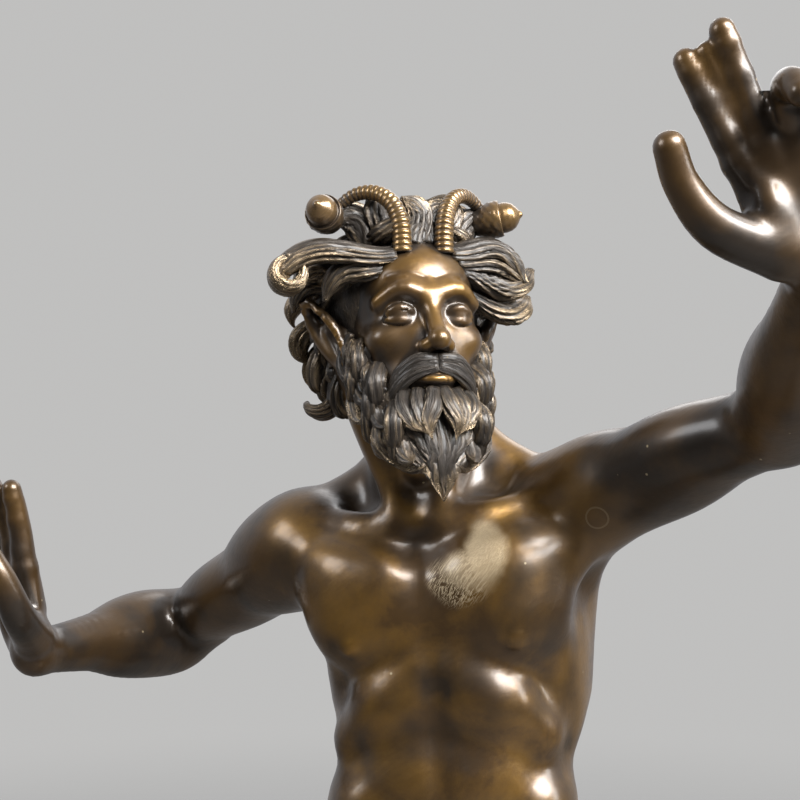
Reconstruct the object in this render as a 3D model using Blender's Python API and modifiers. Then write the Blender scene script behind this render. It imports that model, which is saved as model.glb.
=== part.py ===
"""A dancing faun in patinated bronze, about 0.8 m tall, on a low round base of its own.

The figure is built up as a sculptor builds clay: masses for bone, muscle, hair and beard are
laid one on another, and each blends into those before it. The base is a turned moulding.
Run it with: blender --background --python part.py
"""

import math

import bmesh
import bpy
import numpy as np

# Driving sizes, in metres
STATURE = 0.700  # soles to crown, if this faun stood straight
BASE_HEIGHT = 0.034
BASE_MARGIN = 0.016  # bare ground left between the feet and the base's top edge
BASE_STEP = 0.012  # how far the foot moulding stands out beyond the top edge
BASE_LIP = 0.007  # height of the plain band under the top edge
BASE_EDGE = 0.0015  # the small bevel at the top edge
BASE_WAIST = 0.006  # how deep the hollow under the lip runs in
BASE_FOOT = 0.012  # height of the rounded foot moulding
SEAT_GAP = 0.0001  # clearance between the soles and the base

# The mesh, as shares of the stature, and the most triangles kept
ROUGH_VOXEL = 0.0042
BALL_SPACING = 0.6  # of balls along a roll, in radii
SKIN_VOXEL = 0.0034
SKIN_TRIANGLES = 8600
BASE_SIDES = 56
HOLLOW_STEPS = 4
FOOT_STEPS = 3

# Pose of the trunk, in degrees and shares of the stature
HIP_YAW = 8.0
CHEST_YAW = -14.0
HIP_TILT = -0.05
CHEST_TILT = 0.09
SINK = 0.020  # the bent knees lower the trunk by this much
HEAD_YAW = 15.0
HEAD_PITCH = 13.0
HEAD_SIZE = 1 / 7.4

BRONZE_COLOUR = (0.115, 0.070, 0.032, 1.0)
DARK_BRONZE = (0.060, 0.042, 0.026, 1.0)
FAR = 9.0


def vec(*values):
    return np.array(values, float)


def unit(v):
    return v / np.linalg.norm(v)


def lerp(a, b, t):
    return a + (b - a) * t


def ease(low, high, value):
    t = min(1.0, max(0.0, (value - low) / (high - low)))
    return t * t * (3 - 2 * t)


def about(axis, degrees):
    """The rotation matrix that turns about an axis."""
    x, y, z = unit(np.asarray(axis, float))
    c, s = math.cos(math.radians(degrees)), math.sin(math.radians(degrees))
    k = np.array([[0, -z, y], [z, 0, -x], [-y, x, 0]])
    return np.eye(3) * c + s * k + (1 - c) * np.outer((x, y, z), (x, y, z))


def flowing(points, radii, steps):
    """A smooth curve through the points, and the radius at each of its steps."""
    knots = np.column_stack([np.array(points, float), np.array(radii, float)])
    ends = np.vstack([2 * knots[0] - knots[1], knots, 2 * knots[-1] - knots[-2]])
    found = []
    for i in range(len(knots) - 1):
        a, b, c, d = ends[i : i + 4]
        for t in np.arange(steps) / steps:
            found.append(
                0.5 * (2 * b + (c - a) * t + (2 * a - 5 * b + 4 * c - d) * t**2
                       + (3 * b - a - 3 * c + d) * t**3)
            )
    found.append(knots[-1])
    found = np.array(found)
    return found[:, :3], np.maximum(found[:, 3], 1e-4)


class Ball:
    """An ellipsoid of clay."""

    def __init__(self, centre, radii, soft, turn, cut):
        self.centre = np.asarray(centre, float)
        self.radii = np.asarray(radii, float) * np.ones(3)
        self.turn = np.eye(3) if turn is None else turn
        self.soft, self.cut = soft, cut
        self.reach = self.radii.max() + soft + 0.012

    def distance(self, p):
        q = (p - self.centre) @ self.turn
        inner = np.linalg.norm(q / self.radii, axis=1)
        slope = np.linalg.norm(q / self.radii**2, axis=1)
        return inner * (inner - 1) / np.maximum(slope, 1e-9)

    def stand_ins(self):
        """The matrices that take a unit ball to this mass."""
        matrix = np.eye(4)
        matrix[:3, :3] = self.turn * self.radii
        matrix[:3, 3] = self.centre
        return [matrix]


class Roll:
    """A roll of clay along a curve, thick or thin by its radii."""

    def __init__(self, points, radii, soft, cut):
        self.points = np.asarray(points, float)
        self.radii = np.asarray(radii, float)
        self.soft, self.cut = soft, cut
        low, high = self.points.min(0), self.points.max(0)
        self.centre = (low + high) / 2
        self.reach = np.linalg.norm(high - low) / 2 + self.radii.max() + soft + 0.012

    def distance(self, p):
        best = np.full(len(p), FAR)
        for a, b, ra, rb in zip(self.points, self.points[1:], self.radii, self.radii[1:]):
            run = b - a
            t = np.clip((p - a) @ run / max(run @ run, 1e-12), 0, 1)
            d = np.linalg.norm(p - a - t[:, None] * run, axis=1) - lerp(ra, rb, t)
            best = np.minimum(best, d)
        return best

    def stand_ins(self):
        """The matrices that take a unit ball to balls set close along this roll."""
        found = []
        for a, b, ra, rb in zip(self.points, self.points[1:], self.radii, self.radii[1:]):
            count = max(1, math.ceil(np.linalg.norm(b - a) / (BALL_SPACING * max(ra, rb))))
            for t in np.arange(count + 1) / count:
                matrix = np.diag([lerp(ra, rb, t)] * 3 + [1.0])
                matrix[:3, 3] = lerp(a, b, t)
                found.append(matrix)
        return found


class Clay:
    """The masses of a figure, in shares of its stature, in the order they are laid on."""

    def __init__(self):
        self.masses = []

    def ball(self, centre, radii, soft=0.010, turn=None, cut=False):
        self.masses.append(Ball(centre, radii, soft, turn, cut))

    def roll(self, points, radii, soft=0.008, cut=False, steps=1):
        if steps > 1:
            points, radii = flowing(points, radii, steps)
        self.masses.append(Roll(points, radii, soft, cut))

    def near(self, p):
        """Each mass with the points that it can reach."""
        p = p.astype(np.float32)
        found = []
        for mass in self.masses:
            index = np.flatnonzero(((p - mass.centre.astype(np.float32)) ** 2).sum(1) < mass.reach**2)
            if len(index):
                found.append((mass, index))
        return found

    def outside(self, p, near):
        """How far each point is outside the blended skin. It is negative inside."""
        d = np.full(len(p), FAR)
        for mass, index in near:
            e, k, old = mass.distance(p[index]), mass.soft, d[index]
            if mass.cut:
                h = np.clip(0.5 - 0.5 * (old + e) / k, 0, 1)
                d[index] = lerp(old, -e, h) + k * h * (1 - h)
            else:
                h = np.clip(0.5 + 0.5 * (e - old) / k, 0, 1)
                d[index] = lerp(e, old, h) - k * h * (1 - h)
        return d

    def draw_onto(self, p, rounds=4, step=1e-4, most=0.006):
        """Moves points onto the blended skin, along its slope."""
        near = self.near(p)
        for _ in range(rounds):
            d = self.outside(p, near)
            slope = np.column_stack(
                [(self.outside(p + step * axis, near) - d) / step for axis in np.eye(3)]
            )
            size = np.maximum((slope**2).sum(1), 0.25)
            move = slope * (d / size)[:, None]
            length = np.linalg.norm(move, axis=1)
            move *= np.minimum(1.0, most / np.maximum(length, 1e-9))[:, None]
            move[np.abs(d) > 0.05] = 0
            p = p - move
            p[:, 2] = np.maximum(p[:, 2], 0.0)
        return p


# The trunk

def trunk_frame(z):
    """Where the trunk's middle is at a height, and how it is turned there."""
    up = ease(0.54, 0.70, z)
    yaw = lerp(HIP_YAW, CHEST_YAW, up)
    tilt = lerp(HIP_TILT, CHEST_TILT, up)
    heights = [0.48, 0.60, 0.72, 0.76, 0.83]
    x = np.interp(z, heights, [0.012, 0.014, 0.016, 0.011, -0.003])
    y = np.interp(z, heights, [0.002, -0.008, 0.000, 0.003, 0.008])
    turn = about((0, 0, 1), yaw) @ about((0, 1, 0), -math.degrees(math.atan(tilt)))
    return vec(x, y, z - SINK), turn


def on_trunk(x, y, z):
    """A point of the upright trunk, where the dance takes it."""
    middle, turn = trunk_frame(z)
    return middle + turn @ vec(x, y, 0)


def trunk_ball(clay, centre, radii, soft, lean=None, cut=False):
    turn = trunk_frame(centre[2])[1]
    if lean is not None:
        turn = turn @ lean
    clay.ball(on_trunk(*centre), radii, soft, turn, cut)


def trunk_roll(clay, points, radii, soft, cut=False, steps=4):
    clay.roll([on_trunk(*p) for p in points], radii, soft, cut, steps)


def add_trunk(clay):
    trunk_ball(clay, (0, 0.004, 0.744), (0.073, 0.062, 0.092), 0.02)
    trunk_ball(clay, (0, 0.012, 0.788), (0.080, 0.044, 0.034), 0.03)
    trunk_ball(clay, (0, 0.000, 0.664), (0.063, 0.051, 0.060), 0.03)
    trunk_ball(clay, (0, -0.004, 0.602), (0.065, 0.050, 0.070), 0.03)
    trunk_ball(clay, (0, 0.006, 0.545), (0.080, 0.054, 0.058), 0.03)
    trunk_ball(clay, (0, -0.012, 0.552), (0.052, 0.046, 0.052), 0.02)
    for s in (-1, 1):
        trunk_ball(clay, (s * 0.054, -0.012, 0.634), (0.026, 0.040, 0.034), 0.014)  # oblique
        trunk_ball(clay, (s * 0.060, 0.002, 0.582), (0.028, 0.042, 0.044), 0.022)  # hip
        trunk_roll(clay, [(s * 0.076, -0.012, 0.602), (s * 0.056, -0.038, 0.572), (s * 0.022, -0.050, 0.532)],
                   [0.007, 0.012, 0.010], 0.014)  # the groin's ridge
        trunk_ball(clay, (s * 0.043, 0.036, 0.520), (0.044, 0.043, 0.049), 0.016)  # buttock
        trunk_ball(clay, (s * 0.063, 0.014, 0.726), (0.024, 0.042, 0.066), 0.026)  # flank
        trunk_ball(clay, (s * 0.046, 0.046, 0.762), (0.042, 0.022, 0.050), 0.026)  # shoulder blade
        trunk_roll(clay, [(s * 0.024, 0.046, 0.575), (s * 0.020, 0.042, 0.64), (s * 0.024, 0.050, 0.71)],
                   [0.016, 0.017, 0.018], 0.018)  # beside the spine
        # Breast: two sheets of muscle that fan out to the arm
        trunk_ball(clay, (s * 0.041, -0.036, 0.760), (0.046, 0.028, 0.040), 0.016,
                   about((0, 1, 0), -s * 18))
        trunk_roll(clay, [(s * 0.030, -0.042, 0.782), (s * 0.064, -0.032, 0.792), (s * 0.090, -0.012, 0.798)],
                   [0.018, 0.020, 0.018], 0.018)
        # Rib arch and the belly's paired muscles
        trunk_roll(clay, [(s * 0.012, -0.050, 0.722), (s * 0.038, -0.046, 0.704), (s * 0.059, -0.030, 0.680)],
                   [0.010, 0.013, 0.012], 0.020)
        trunk_ball(clay, (s * 0.026, -0.044, 0.690), (0.028, 0.016, 0.022), 0.014)
        trunk_ball(clay, (s * 0.021, -0.046, 0.652), (0.022, 0.014, 0.019), 0.010)
        trunk_ball(clay, (s * 0.020, -0.046, 0.614), (0.021, 0.013, 0.020), 0.012)
        trunk_ball(clay, (s * 0.020, -0.046, 0.568), (0.022, 0.013, 0.032), 0.014)
        for step in range(4):  # serrations over the ribs
            trunk_ball(clay, (s * (0.069 - 0.002 * step), -0.020 + 0.007 * step, 0.738 - 0.019 * step),
                       (0.009, 0.018, 0.0085), 0.012, about((1, 0, 0), -25))
        # Collar bone and the muscle from neck to shoulder
        trunk_roll(clay, [(s * 0.012, -0.034, 0.812), (s * 0.045, -0.032, 0.817), (s * 0.084, -0.002, 0.822)],
                   [0.0070, 0.0065, 0.0085], 0.016)
        trunk_roll(clay, [(s * 0.016, 0.022, 0.868 + 0.003 * s), (s * 0.040, 0.022, 0.838 + 0.005 * s),
                          (s * 0.088, 0.014, 0.818 + 0.002 * s)],
                   [0.020, 0.023, 0.019], 0.022)
    trunk_ball(clay, (0, 0.034, 0.818), (0.042, 0.028, 0.046), 0.024)  # nape
    trunk_roll(clay, [(0, -0.074, 0.800), (0, -0.075, 0.760), (0, -0.071, 0.722)],
               [0.004, 0.006, 0.005], 0.014, True)
    trunk_roll(clay, [(0, -0.066, 0.712), (0, -0.066, 0.660), (0, -0.066, 0.612)],
               [0.004, 0.004, 0.003], 0.010, True)
    trunk_roll(clay, [(0, 0.079, 0.800), (0, 0.078, 0.720), (0, 0.068, 0.640), (0, 0.070, 0.58)],
               [0.006, 0.008, 0.010, 0.006], 0.018, True)
    trunk_ball(clay, (0, -0.0615, 0.603), (0.0045, 0.008, 0.0055), 0.004, None, True)  # navel
    trunk_ball(clay, (0, -0.050, 0.808), (0.009, 0.011, 0.010), 0.014, None, True)  # pit of the neck
    trunk_roll(clay, [(0, 0.092, 0.540), (0, 0.088, 0.500)], [0.006, 0.010], 0.010, True)


def add_neck(clay, head):
    clay.roll([on_trunk(0, 0.016, 0.815), head(0, 0.16, -0.30)], [0.034, 0.033], 0.012)
    for s in (-1, 1):
        middle = lerp(on_trunk(s * 0.018, -0.026, 0.84), head(s * 0.27, 0.10, -0.20), 0.4)
        clay.roll([on_trunk(s * 0.010, -0.036, 0.816), middle, head(s * 0.27, 0.12, -0.18)],
                  [0.0065, 0.009, 0.011], 0.016, steps=4)
    clay.ball(lerp(on_trunk(0, -0.030, 0.83), head(0, -0.14, -0.42), 0.45), (0.010, 0.010, 0.012), 0.014)


# Arms and hands

def bone_frame(a, b, front):
    """Axes of a limb: its front, its side and its length, as columns."""
    along = unit(b - a)
    front = unit(front - along * (front @ along))
    return np.column_stack([front, np.cross(along, front), along])


def add_arm(clay, side, shoulder, elbow, wrist, full):
    """An arm from its three joints. full is how far the forearm's muscle stands out on the thumb's side."""
    upper = bone_frame(shoulder, elbow, wrist - elbow)
    front = upper[:, 0]

    def along(t):
        return lerp(shoulder, elbow, t)

    clay.roll([shoulder, along(0.5), elbow], [0.030, 0.027, 0.0235], 0.014)
    clay.ball(along(0.12) + vec(side * 0.003, 0, 0.002), (0.032, 0.034, 0.050), 0.018, upper)
    clay.ball(along(0.57) + front * 0.0100, (0.0235, 0.0235, 0.050), 0.010, upper)
    clay.ball(along(0.44) - front * 0.0100, (0.0260, 0.0280, 0.060), 0.010, upper)
    clay.ball(elbow - front * 0.010, (0.015, 0.017, 0.018), 0.012, upper)
    lower = bone_frame(elbow, wrist, shoulder - elbow)
    across = lower[:, 1] * side
    near, far = lerp(elbow, wrist, 0.30), lerp(elbow, wrist, 0.72)
    clay.roll([elbow, near, far, wrist], [0.0240, 0.0265, 0.0185, 0.0145], 0.010, steps=3)
    clay.ball(near + across * 0.009 * full, (0.0235, 0.0215, 0.052), 0.008, lower)
    clay.ball(lerp(elbow, wrist, 0.26) - across * 0.010, (0.0245, 0.0205, 0.048), 0.008, lower)
    clay.roll([along(0.80) + across * 0.013 * full, lerp(elbow, wrist, 0.12) + across * 0.017 * full,
               lerp(elbow, wrist, 0.48) + across * 0.011 * full], [0.010, 0.0155, 0.010], 0.010, steps=3)


def armpit(clay, s, shoulder, elbow):
    """The folds before and behind the armpit, drawn out to the arm."""
    clay.roll([on_trunk(s * 0.050, -0.038, 0.750), on_trunk(s * 0.068, -0.026, 0.774),
               lerp(shoulder, elbow, 0.34)], [0.018, 0.017, 0.014], 0.016, steps=4)
    clay.roll([on_trunk(s * 0.066, 0.026, 0.700), on_trunk(s * 0.076, 0.026, 0.762),
               lerp(shoulder, elbow, 0.30)], [0.014, 0.018, 0.015], 0.014, steps=4)


HAND = 1.16  # the hands are a little large, as the sculptor made them
FINGERS = (  # place across the palm, length, fan
    (0.0175, 0.048, 0.17),
    (0.0058, 0.051, 0.02),
    (-0.0060, 0.047, -0.09),
    (-0.0175, 0.038, -0.22),
)


def add_hand(clay, side, wrist, point, palm, curls, thumb_curl, spread):
    """A hand from its wrist. point runs to the fingers, palm is the way it faces, spread fans them."""
    point = unit(point)
    palm = unit(palm - point * (palm @ point))
    thumb = np.cross(palm, point) * side
    turn = np.column_stack([thumb, palm, point])

    def at(t, n, f):
        return wrist + HAND * (thumb * t + palm * n + point * f)

    clay.ball(at(0, 0, 0.004), vec(0.0165, 0.0120, 0.016) * HAND, 0.008, turn)
    clay.ball(at(0, 0, 0.030), vec(0.0235, 0.0085, 0.036) * HAND, 0.008, turn)
    clay.ball(at(0.013, 0.0065, 0.020), vec(0.0090, 0.0080, 0.020) * HAND, 0.006, turn)
    clay.ball(at(-0.013, 0.0055, 0.022), vec(0.0080, 0.0070, 0.022) * HAND, 0.006, turn)
    for (place, length, fan), curl in zip(FINGERS, curls):
        p = at(place, 0.0, 0.052 - 8 * place**2)
        clay.roll([at(place * 0.6, -0.001, 0.026), p], vec(0.0070, 0.0074) * HAND, 0.005)
        line, radii, angle = [p], [0.0070], -6.0
        ahead = unit(point + thumb * fan * spread)
        for share, bend, r in ((0.42, 0.6, 0.0066), (0.32, 1.0, 0.0061), (0.22, 0.7, 0.0056)):
            angle += curl * bend
            a = math.radians(angle)
            p = p + HAND * length * share * (ahead * math.cos(a) + palm * math.sin(a))
            line.append(p)
            radii.append(r)
        clay.roll(line, vec(*radii) * HAND, 0.0025, steps=2)
    base = at(0.016, 0.004, 0.010)
    splay = 0.16 + 0.64 * spread
    first = base + HAND * 0.030 * unit(thumb * splay + point * 0.58 + palm * (0.20 + thumb_curl))
    splay = 0.12 + 0.30 * spread - thumb_curl * 0.3
    second = first + HAND * 0.022 * unit(thumb * splay + point * 0.87 + palm * thumb_curl)
    tip = second + HAND * 0.016 * unit(thumb * (0.02 - thumb_curl * 0.3) + point * 0.98 + palm * thumb_curl)
    clay.roll([base, first, second, tip], vec(0.0110, 0.0095, 0.0080, 0.0068) * HAND, 0.006, steps=2)


# Legs and feet

FOOT_BACK, ANKLE_UP = 0.078, 0.047  # from the ball of the foot to the ankle
FOOT_WIDE = 0.0255
TOE_REACH = 0.046  # from the ball of the foot to the toes' ends
HEEL_REACH = 0.034  # from the ankle to the back of the heel


def foot_under(ankle_x, ankle_y, heading, lift):
    """The ankle and the ball of a foot that stands on the ground, its heel lifted by some degrees."""
    a = math.radians(lift)
    way = about((0, 0, 1), heading) @ vec(0, -1, 0)
    ahead = FOOT_BACK * math.cos(a) - ANKLE_UP * math.sin(a)
    ankle = vec(ankle_x, ankle_y, FOOT_BACK * math.sin(a) + ANKLE_UP * math.cos(a))
    ball = vec(ankle_x, ankle_y, 0) + way * ahead
    return ankle, ball, way


def add_leg(clay, side, hip, knee, ankle, ball, way, lift):
    thigh = bone_frame(hip, knee, way)
    front, across = thigh[:, 0], thigh[:, 1]
    inner = across * (-side if across[0] > 0 else side)
    clay.roll([hip, lerp(hip, knee, 0.35), lerp(hip, knee, 0.75), knee], [0.046, 0.043, 0.033, 0.027], 0.022, steps=3)
    clay.ball(lerp(hip, knee, 0.42) + front * 0.013, (0.034, 0.036, 0.098), 0.014, thigh)
    clay.ball(lerp(hip, knee, 0.50) - inner * 0.018 + front * 0.004, (0.028, 0.020, 0.080), 0.012, thigh)
    clay.ball(lerp(hip, knee, 0.84) + inner * 0.013 + front * 0.008, (0.015, 0.013, 0.028), 0.010, thigh)
    clay.ball(lerp(hip, knee, 0.80) - inner * 0.014 + front * 0.008, (0.013, 0.012, 0.026), 0.010, thigh)
    clay.ball(lerp(hip, knee, 0.48) - front * 0.017, (0.024, 0.033, 0.085), 0.012, thigh)
    clay.ball(lerp(hip, knee, 0.22) + inner * 0.018, (0.032, 0.022, 0.055), 0.016, thigh)
    shin = bone_frame(knee, ankle, way)
    sf = shin[:, 0]
    clay.ball(knee + front * 0.014 - vec(0, 0, 0.002), (0.0125, 0.0150, 0.0185), 0.010, shin)
    clay.roll([knee, lerp(knee, ankle, 0.28), lerp(knee, ankle, 0.70), ankle], [0.0275, 0.0270, 0.0185, 0.0165],
              0.012, steps=3)
    clay.ball(lerp(knee, ankle, 0.29) - sf * 0.013 + inner * 0.010, (0.024, 0.0215, 0.058), 0.010, shin)
    clay.ball(lerp(knee, ankle, 0.26) - sf * 0.013 - inner * 0.010, (0.023, 0.0210, 0.052), 0.010, shin)
    clay.roll([lerp(knee, ankle, 0.10) + sf * 0.018, lerp(knee, ankle, 0.5) + sf * 0.013, ankle + sf * 0.006],
              [0.008, 0.008, 0.008], 0.010)
    # Foot
    a = math.radians(lift)
    back, up = -way * math.cos(a) + vec(0, 0, math.sin(a)), way * math.sin(a) + vec(0, 0, math.cos(a))

    def sole(b, u, w=0.0):
        return ball + back * b + up * u + w * np.cross(up, back) * (-side)

    clay.roll([lerp(knee, ankle, 0.62) - sf * 0.013, sole(0.094, 0.040), sole(0.098, 0.020)], [0.0085, 0.0075, 0.012],
              0.012, steps=3)
    clay.ball(sole(0.093, 0.018), (0.019, 0.0175, 0.018), 0.012)
    for w in (-1, 1):
        clay.ball(sole(0.079, ANKLE_UP + 0.002 * w, 0.0155 * w), 0.0068, 0.008)
    clay.roll([sole(0.080, 0.036), sole(0.045, 0.026, 0.003), sole(0.004, 0.015, 0.004)], [0.018, 0.0175, 0.0125],
              0.012, steps=3)
    clay.roll([sole(0.085, 0.012, -0.006), sole(0.045, 0.010, -0.012), sole(0.004, 0.010, -0.013)],
              [0.012, 0.0095, 0.0105], 0.010, steps=3)
    clay.ball(sole(-0.002, 0.012, 0.002), (0.020, 0.020, 0.0115), 0.010)
    right = np.cross(way, vec(0, 0, 1))
    lean = right * (-side)  # towards the big toe
    for toe in range(5):
        w = 0.0165 - 0.0088 * toe
        long = 0.040 - 0.0045 * toe - (0.004 if toe == 0 else 0)
        r = 0.0088 if toe == 0 else 0.0062 - 0.0003 * toe
        root = ball + lean * (w + 0.002) + vec(0, 0, 0.0115) + way * 0.004
        tip = ball + lean * (w * 1.15 + 0.002) + way * long + vec(0, 0, r * 0.8)
        middle = lerp(root, tip, 0.55) + vec(0, 0, 0.0030)
        clay.roll([root, middle, tip], [r * 1.05, r, r * 0.95], 0.004, steps=3)


# Head, hair and beard. Points on the head are in heads: x to the faun's left, y back, z up.

HORN_TURN = 140  # degrees from root to tip
HORN_SWEEP = 46  # degrees back from straight out to the side
HORN_LENGTH = 0.56
HORN_THICK = 0.043
HAIR_BLEND = 0.016
SKULL = (0.345, 0.400, 0.350)
SKULL_MIDDLE = (0.0, 0.07, 0.13)


def head_place():
    turn = about((0, 0, 1), HEAD_YAW) @ about((1, 0, 0), -HEAD_PITCH)
    centre = vec(-0.014, -0.014, 0.935 - SINK)

    def place(x, y, z):
        return centre + HEAD_SIZE * (turn @ vec(x, y, z))

    return place, turn


def add_skull(clay, head, turn):
    def ball(c, r, soft, extra=None, cut=False):
        lean = turn if extra is None else turn @ extra
        clay.ball(head(*c), vec(*r) * HEAD_SIZE, soft * HEAD_SIZE, lean, cut)

    def roll(points, radii, soft, cut=False, steps=3):
        clay.roll([head(*p) for p in points], vec(*radii) * HEAD_SIZE, soft * HEAD_SIZE, cut, steps)

    ball((0, 0.07, 0.13), (0.325, 0.385, 0.350), 0.10)
    ball((0, -0.13, -0.10), (0.255, 0.255, 0.34), 0.12)
    ball((0, -0.17, 0.19), (0.235, 0.200, 0.190), 0.10)
    ball((0, -0.15, -0.32), (0.205, 0.205, 0.155), 0.10)
    for s in (-1, 1):
        ball((s * 0.190, -0.235, -0.105), (0.075, 0.080, 0.060), 0.08)
        roll([(s * 0.045, -0.372, 0.078), (s * 0.140, -0.366, 0.106), (s * 0.235, -0.290, 0.060)],
             [0.036, 0.038, 0.028], 0.05)
        ball((s * 0.135, -0.405, -0.004), (0.075, 0.062, 0.050), 0.06, None, True)
        ball((s * 0.135, -0.318, -0.002), (0.062, 0.058, 0.048), 0.02)
    roll([(0, -0.365, 0.060), (0, -0.405, -0.040), (0, -0.462, -0.150)], [0.036, 0.036, 0.044], 0.04)
    ball((0, -0.470, -0.160), (0.044, 0.046, 0.042), 0.03)
    for s in (-1, 1):
        ball((s * 0.052, -0.415, -0.178), (0.032, 0.048, 0.032), 0.03)
    ball((0, -0.345, -0.285), (0.105, 0.060, 0.060), 0.05)
    roll([(-0.075, -0.375, -0.318), (0, -0.405, -0.322), (0.075, -0.375, -0.318)], [0.016, 0.026, 0.016], 0.02)
    for s in (-1, 1):  # pointed ears
        roll([(s * 0.320, 0.050, -0.170), (s * 0.385, 0.110, -0.050), (s * 0.445, 0.130, 0.070),
              (s * 0.510, 0.070, 0.190)], [0.030, 0.038, 0.036, 0.020], 0.03)
        roll([(s * 0.315, -0.010, -0.170), (s * 0.350, -0.030, -0.050), (s * 0.415, -0.010, 0.070),
              (s * 0.510, 0.065, 0.190)], [0.030, 0.026, 0.026, 0.020], 0.03)
        ball((s * 0.360, 0.055, -0.020), (0.028, 0.070, 0.110), 0.04, about((0, 1, 0), s * 20))
        ball((s * 0.330, 0.025, -0.170), (0.030, 0.042, 0.046), 0.03)


def on_skull(round_angle, height_angle, out=1.0):
    """A place on the scalp and the way it faces. 0 degrees round is the brow, and plus is the faun's left."""
    a, e = math.radians(round_angle), math.radians(height_angle)
    way = vec(math.sin(a) * math.cos(e), -math.cos(a) * math.cos(e), math.sin(e))
    return vec(*SKULL_MIDDLE) + way * vec(*SKULL) * out, unit(way / vec(*SKULL))


def strand(start, heading, axis, length, wave, curl, steps, ring=0.0):
    """The line of a lock: it waves once, then curls towards its tip. Angles are in degrees.

    ring is the share of the lock that is rolled up evenly at its end. Without it the curl tightens slowly.
    """
    p, d, line = np.array(start, float), unit(heading), [np.array(start, float)]
    for i in range(steps):
        s = (i + 0.5) / steps
        tightening = 3 * s**2
        if ring:
            tightening = (s > 1 - ring) / ring
        d = about(axis, wave * math.cos(2 * math.pi * s) * 3 / steps + curl * tightening / steps) @ d
        p = p + d * length * (1.25 - 0.5 * s) / steps
        line.append(p)
    return line


def hugging(line, amount, lift):
    """The line pressed towards the scalp, and lifted a little in the middle."""
    found = []
    for i, p in enumerate(line):
        q = (p - vec(*SKULL_MIDDLE)) / vec(*SKULL)
        far = np.linalg.norm(q)
        wanted = 1.0 + lift * math.sin(math.pi * min(1.0, 1.1 * i / (len(line) - 1)))
        found.append(vec(*SKULL_MIDDLE) + q * lerp(far, wanted, amount) / far * vec(*SKULL))
    return found


def lock_widths(thick, steps, tip):
    """Narrow at the root, full in the middle, drawn in at the tip."""
    s = np.linspace(0, 1, steps + 1)
    return thick * (0.65 + 0.35 * np.sin(np.pi * np.minimum(1, s * 1.2))) * (1 - (1 - tip) * s**3)


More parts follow.
